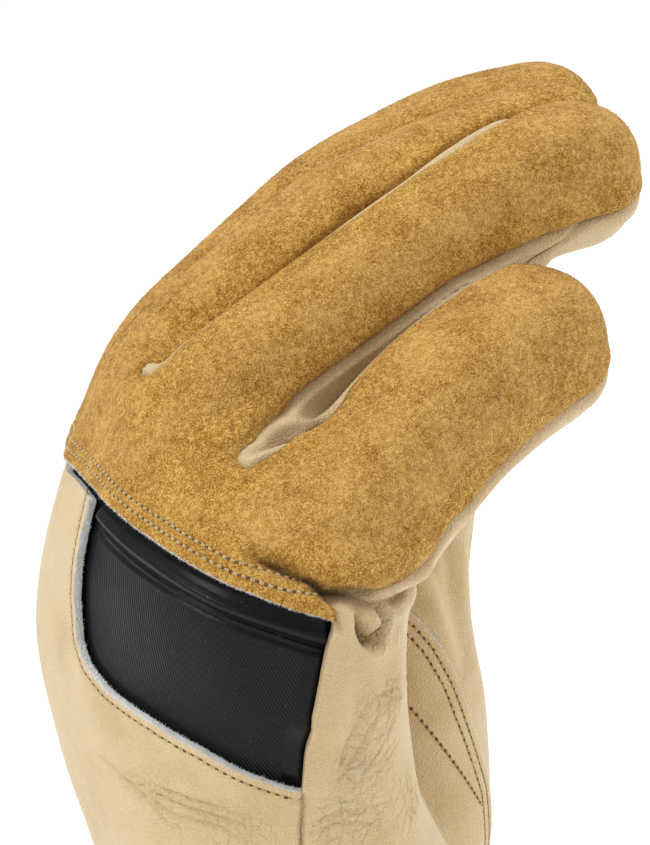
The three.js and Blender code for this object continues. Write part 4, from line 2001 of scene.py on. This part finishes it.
@dataclass(frozen=True)
class Studio:
    """The floor, the lights and the camera."""

    azimuth: float = -30.59187
    elevation: float = 18.06048
    roll: float = -0.194
    distance: float = 700.0
    look: tuple[float, float, float] = (4.7015, -10.0, 158.8835)
    lens: float = 169.69

    def build(self) -> None:
        """Adds everything to the scene."""
        self._floor()
        self._lights()
        self._camera()

    def _floor(self) -> None:
        """A plain pale floor."""
        graph = Graph("floor")
        tone = graph.noise(graph.place(), 400.0, 1.0)
        colour = graph.blend(tone, (0.86, 0.86, 0.86), (0.9, 0.9, 0.9))
        graph.surface(Base_Color=colour, Roughness=0.8, Emission_Color=(1, 1, 1, 1), Emission_Strength=0.3)
        mesh = bpy.data.meshes.new("floor")
        size = 8.0
        mesh.from_pydata(
            [(-size, -size, 0), (size, -size, 0), (size, size, 0), (-size, size, 0)], [], [(0, 1, 2, 3)]
        )
        mesh.materials.append(graph.material)
        obj = bpy.data.objects.new("floor", mesh)
        bpy.context.scene.collection.objects.link(obj)

    def _lights(self) -> None:
        """A bright sky and three soft lamps."""
        world = bpy.data.worlds.new("studio")
        world.use_nodes = True
        world.node_tree.nodes["Background"].inputs["Color"].default_value = (1.0, 1.0, 1.0, 1.0)
        world.node_tree.nodes["Background"].inputs["Strength"].default_value = 0.53
        bpy.context.scene.world = world
        for name, spot, size, power in (
            ("key", (-0.9, 0.0, 1.1), 0.7, 10.0),
            ("fill", (1.1, -0.3, 0.7), 1.0, 7.5),
            ("top", (0.1, 0.4, 1.6), 0.8, 7.0),
        ):
            lamp = bpy.data.lights.new(name, "AREA")
            lamp.size = size
            lamp.energy = power
            obj = bpy.data.objects.new(name, lamp)
            obj.location = spot
            aim = Vector((0.0, 0.0, 0.13)) - Vector(spot)
            obj.rotation_euler = aim.to_track_quat("-Z", "Y").to_euler()
            bpy.context.scene.collection.objects.link(obj)

    def _camera(self) -> None:
        """The camera at the photograph's angle."""
        a, e, r = (math.radians(v) for v in (self.azimuth, self.elevation, self.roll))
        back = Vector((math.sin(a) * math.cos(e), -math.cos(a) * math.cos(e), math.sin(e)))
        right = Vector((math.cos(a), math.sin(a), 0.0))
        up = back.cross(right)
        right, up = right * math.cos(r) + up * math.sin(r), up * math.cos(r) - right * math.sin(r)
        camera = bpy.data.cameras.new("camera")
        camera.sensor_width = 36.0
        camera.lens = self.lens
        camera.clip_end = 30.0
        obj = bpy.data.objects.new("camera", camera)
        turn = Matrix((right, up, back)).transposed().to_4x4()
        obj.matrix_world = Matrix.Translation((Vector(self.look) + back * self.distance) / 1000.0) @ turn
        bpy.context.scene.collection.objects.link(obj)
        bpy.context.scene.camera = obj
        bpy.context.scene.view_settings.view_transform = "Standard"


def wrinkle(height: float, *line: tuple[float, float, float], width: float = 0.42) -> Fold:
    """A fine wrinkle of the palm's side, with low ridges beside it."""
    return Fold(line, height, width, 0.12, -0.1)


FOLDS = (
    # the dart beside the little finger, and the suede's bulge over it
    Fold(((-26, -39.5, 147.5), (-22.8, -42.3, 146.2), (-20, -44.7, 144.6), (-18.1, -46.8, 143.6),
          (-14.4, -48, 142.4), (-10.1, -48, 141.6)), -5.4, 1.5, 1.0),
    Fold(((-17, -43, 149), (-12, -46, 147.5), (-7, -47, 146), (0, -45, 146)), 1.8, 2.6),
    # the little finger's root over the palm
    Fold(((-15, -48, 141.9), (-10, -48.1, 139.9), (-5.6, -46.8, 138.9), (-2, -45, 138.8), (2, -42, 139),
          (6, -37, 139.5), (10, -29, 140.5)), -2.4, 1.2, 0.5),
    # the pouch below it
    Fold(((-12.9, -47.3, 138.9), (-12, -47.4, 135.8), (-10.8, -47.4, 133.5), (-9.1, -47.2, 133.7),
          (-7.3, -46.6, 135.8), (-6.9, -46.6, 138)), -3.2, 0.95, 0.8),
    Fold(((-10, -47.5, 139), (-9.5, -47.4, 137), (-9.4, -47.3, 135.8)), 1.1, 1.2),
    Fold(((-13, -47.5, 132), (-9.1, -47.1, 130.8), (-6.0, -45.9, 131.2), (-3.4, -44.7, 133.6)), 0.9, 1.9),
    # the hollow between the little finger and the ring finger
    Fold(((-20.2, -26.2, 160.4), (-14.9, -25.8, 163.3), (-8.4, -25.2, 166.9),
          (-1.4, -24.8, 170.4)), -1.9, 1.1),
    # wrinkles on the palm's side
    wrinkle(-0.31, (-9.8, -47, 123.1), (-12.9, -47.8, 118.7), (-13.8, -47.3, 114.1), (-14.8, -46.5, 108.3)),
    wrinkle(-0.31, (-6.9, -46.7, 120.6), (-10.2, -47.7, 118.1), (-11.6, -47.5, 113), (-16.1, -46.1, 106)),
    wrinkle(-0.25, (-5.4, -46.7, 118.5), (-7, -46.9, 114.6), (-9.1, -47.1, 110.5), (-12.6, -46.6, 106.1)),
    wrinkle(-0.22, (-2.1, -45.2, 113.7), (-6, -46.5, 109.6), (-10.9, -47, 107.6)),
    wrinkle(-0.31, (3.2, -38.5, 121), (-4.2, -44.8, 123.3), (-9.3, -46.9, 123.3)),
    wrinkle(-0.28, (1, -41.4, 121.1), (-4.6, -45.4, 122.1), (-7.7, -46.8, 121.5)),
    wrinkle(-0.28, (-19, -45.2, 101.3), (-14.8, -45.9, 102.4), (-10.6, -46.4, 102.3),
            (-4.4, -45.8, 102.2), width=0.45),
    wrinkle(-0.28, (-20.1, -44.4, 99.4), (-14, -45.8, 100.3), (-8.6, -46.3, 99.1),
            (-5.1, -45.6, 96.4), width=0.45),
    wrinkle(-0.25, (3.9, -41.9, 102.5), (6.8, -39.8, 98.1), (4.2, -42.1, 95.9)),
    wrinkle(-0.25, (2.1, -42.8, 106.5), (3.1, -42.5, 102.1), (3.6, -42.4, 97.6), (1.5, -43.8, 95)),
    # folds of the thumb's leather
    Fold(((40.3, 10, 126), (44.4, 9.7, 117), (47.8, 10.8, 107), (50, 11.5, 98)), -1.7, 1.9, 1.0),
    Fold(((36, 10.5, 122), (40.5, 9.6, 117), (44.5, 8.6, 109), (47.6, 9.5, 99)), -1.4, 1.8, 0.8),
    Fold(((43.5, 9, 146), (44, 9, 136), (46, 9.5, 126)), -1.3, 2.0, 0.8),
    # the bulge and the hollow of the palm's side
    Fold(((-2, -45.5, 134), (-3, -46, 125), (-5, -46.5, 116)), 1.1, 3.2),
    Fold(((-12.5, -47, 129), (-13, -47, 117), (-14, -46.5, 104)), -0.9, 2.2, 0.3),
    # wrinkles on the back of the hand
    Fold(((-39.7, -11.4, 103.1), (-38.6, -22.1, 103.8), (-35.9, -29.7, 103), (-31.8, -36.4, 102.1),
          (-26.3, -41.4, 100.3)), -0.45, 0.45, 0.2, -0.2),
    Fold(((-39.4, -15.7, 102.1), (-38.2, -23.2, 102.6), (-36.4, -27.6, 100.3), (-33, -34.7, 100.2),
          (-28.2, -39.2, 97.9)), -0.4, 0.45, 0.18, -0.18),
    Fold(((-38.6, -23.2, 105.2), (-35.4, -31.6, 104.6), (-31.3, -37.4, 103.8)), -0.35, 0.45, 0.15),
    Fold(((-40.1, -8.1, 105.5), (-39.8, -15.5, 104.2), (-38.2, -22.2, 101.7),
          (-36.1, -27, 97.5)), -0.35, 0.45, 0.15),
)


def shade(skin: Skin) -> Array:
    """How much painted shade each point gets in narrow folds and along seams, from 0 to 1.

    Args:
        skin: the glove's skin.

    Returns:
        One value for each point.
    """
    deep = np.zeros(len(skin.points))
    for fold in FOLDS:
        if fold.width < NARROW_FOLD:
            deep = np.maximum(deep, -fold.lift(skin.points) * 0.45)
    v = skin.values
    seams = [
        0.7 * ridge(v["seam"], 0.0, 0.32) * (v["edge"] < 0) * (v["window"] < 0),
        0.4 * ridge(v["dorsal"], 0.0, 0.35) * (v["edge"] > 0),
        0.45 * ridge(gusset(v), 0.0, 0.3) * (v["dorsal"] < 0),
        0.5 * ridge(v["thumb"], 0.0, 0.5),
    ]
    return np.clip(np.maximum.reduce([deep, *seams]), 0.0, 1.0)


def main() -> None:
    """Builds the glove and its studio."""
    logging.basicConfig(level=logging.INFO, format="%(name)s %(message)s")
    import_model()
    Studio().build()
    shop = Workshop()
    skin = GloveForm(folds=FOLDS).skin()
    skin.values["height"] = skin.points[:, 2].copy()
    skin.values["side_y"] = skin.points[:, 1].copy()
    # painted shade in narrow folds and along seams
    skin.values["deep"] = shade(skin)
    suede, back, patch, strap = BackSuede(), HandBack(), PalmPatch(), Strap()
    faces = {panel.name: panel.build(skin, shop) for panel in (suede, back, patch, Palm(), strap, Thumb())}
    for i, name in enumerate(("little_ring", "ring_middle", "middle_index")):
        Gusset(name="fourchette_" + name, which=i).build(skin, shop)
    for panel in (suede, strap, back, patch):
        panel.trim(faces[panel.name], shop)


if __name__ == "__main__":
    main()
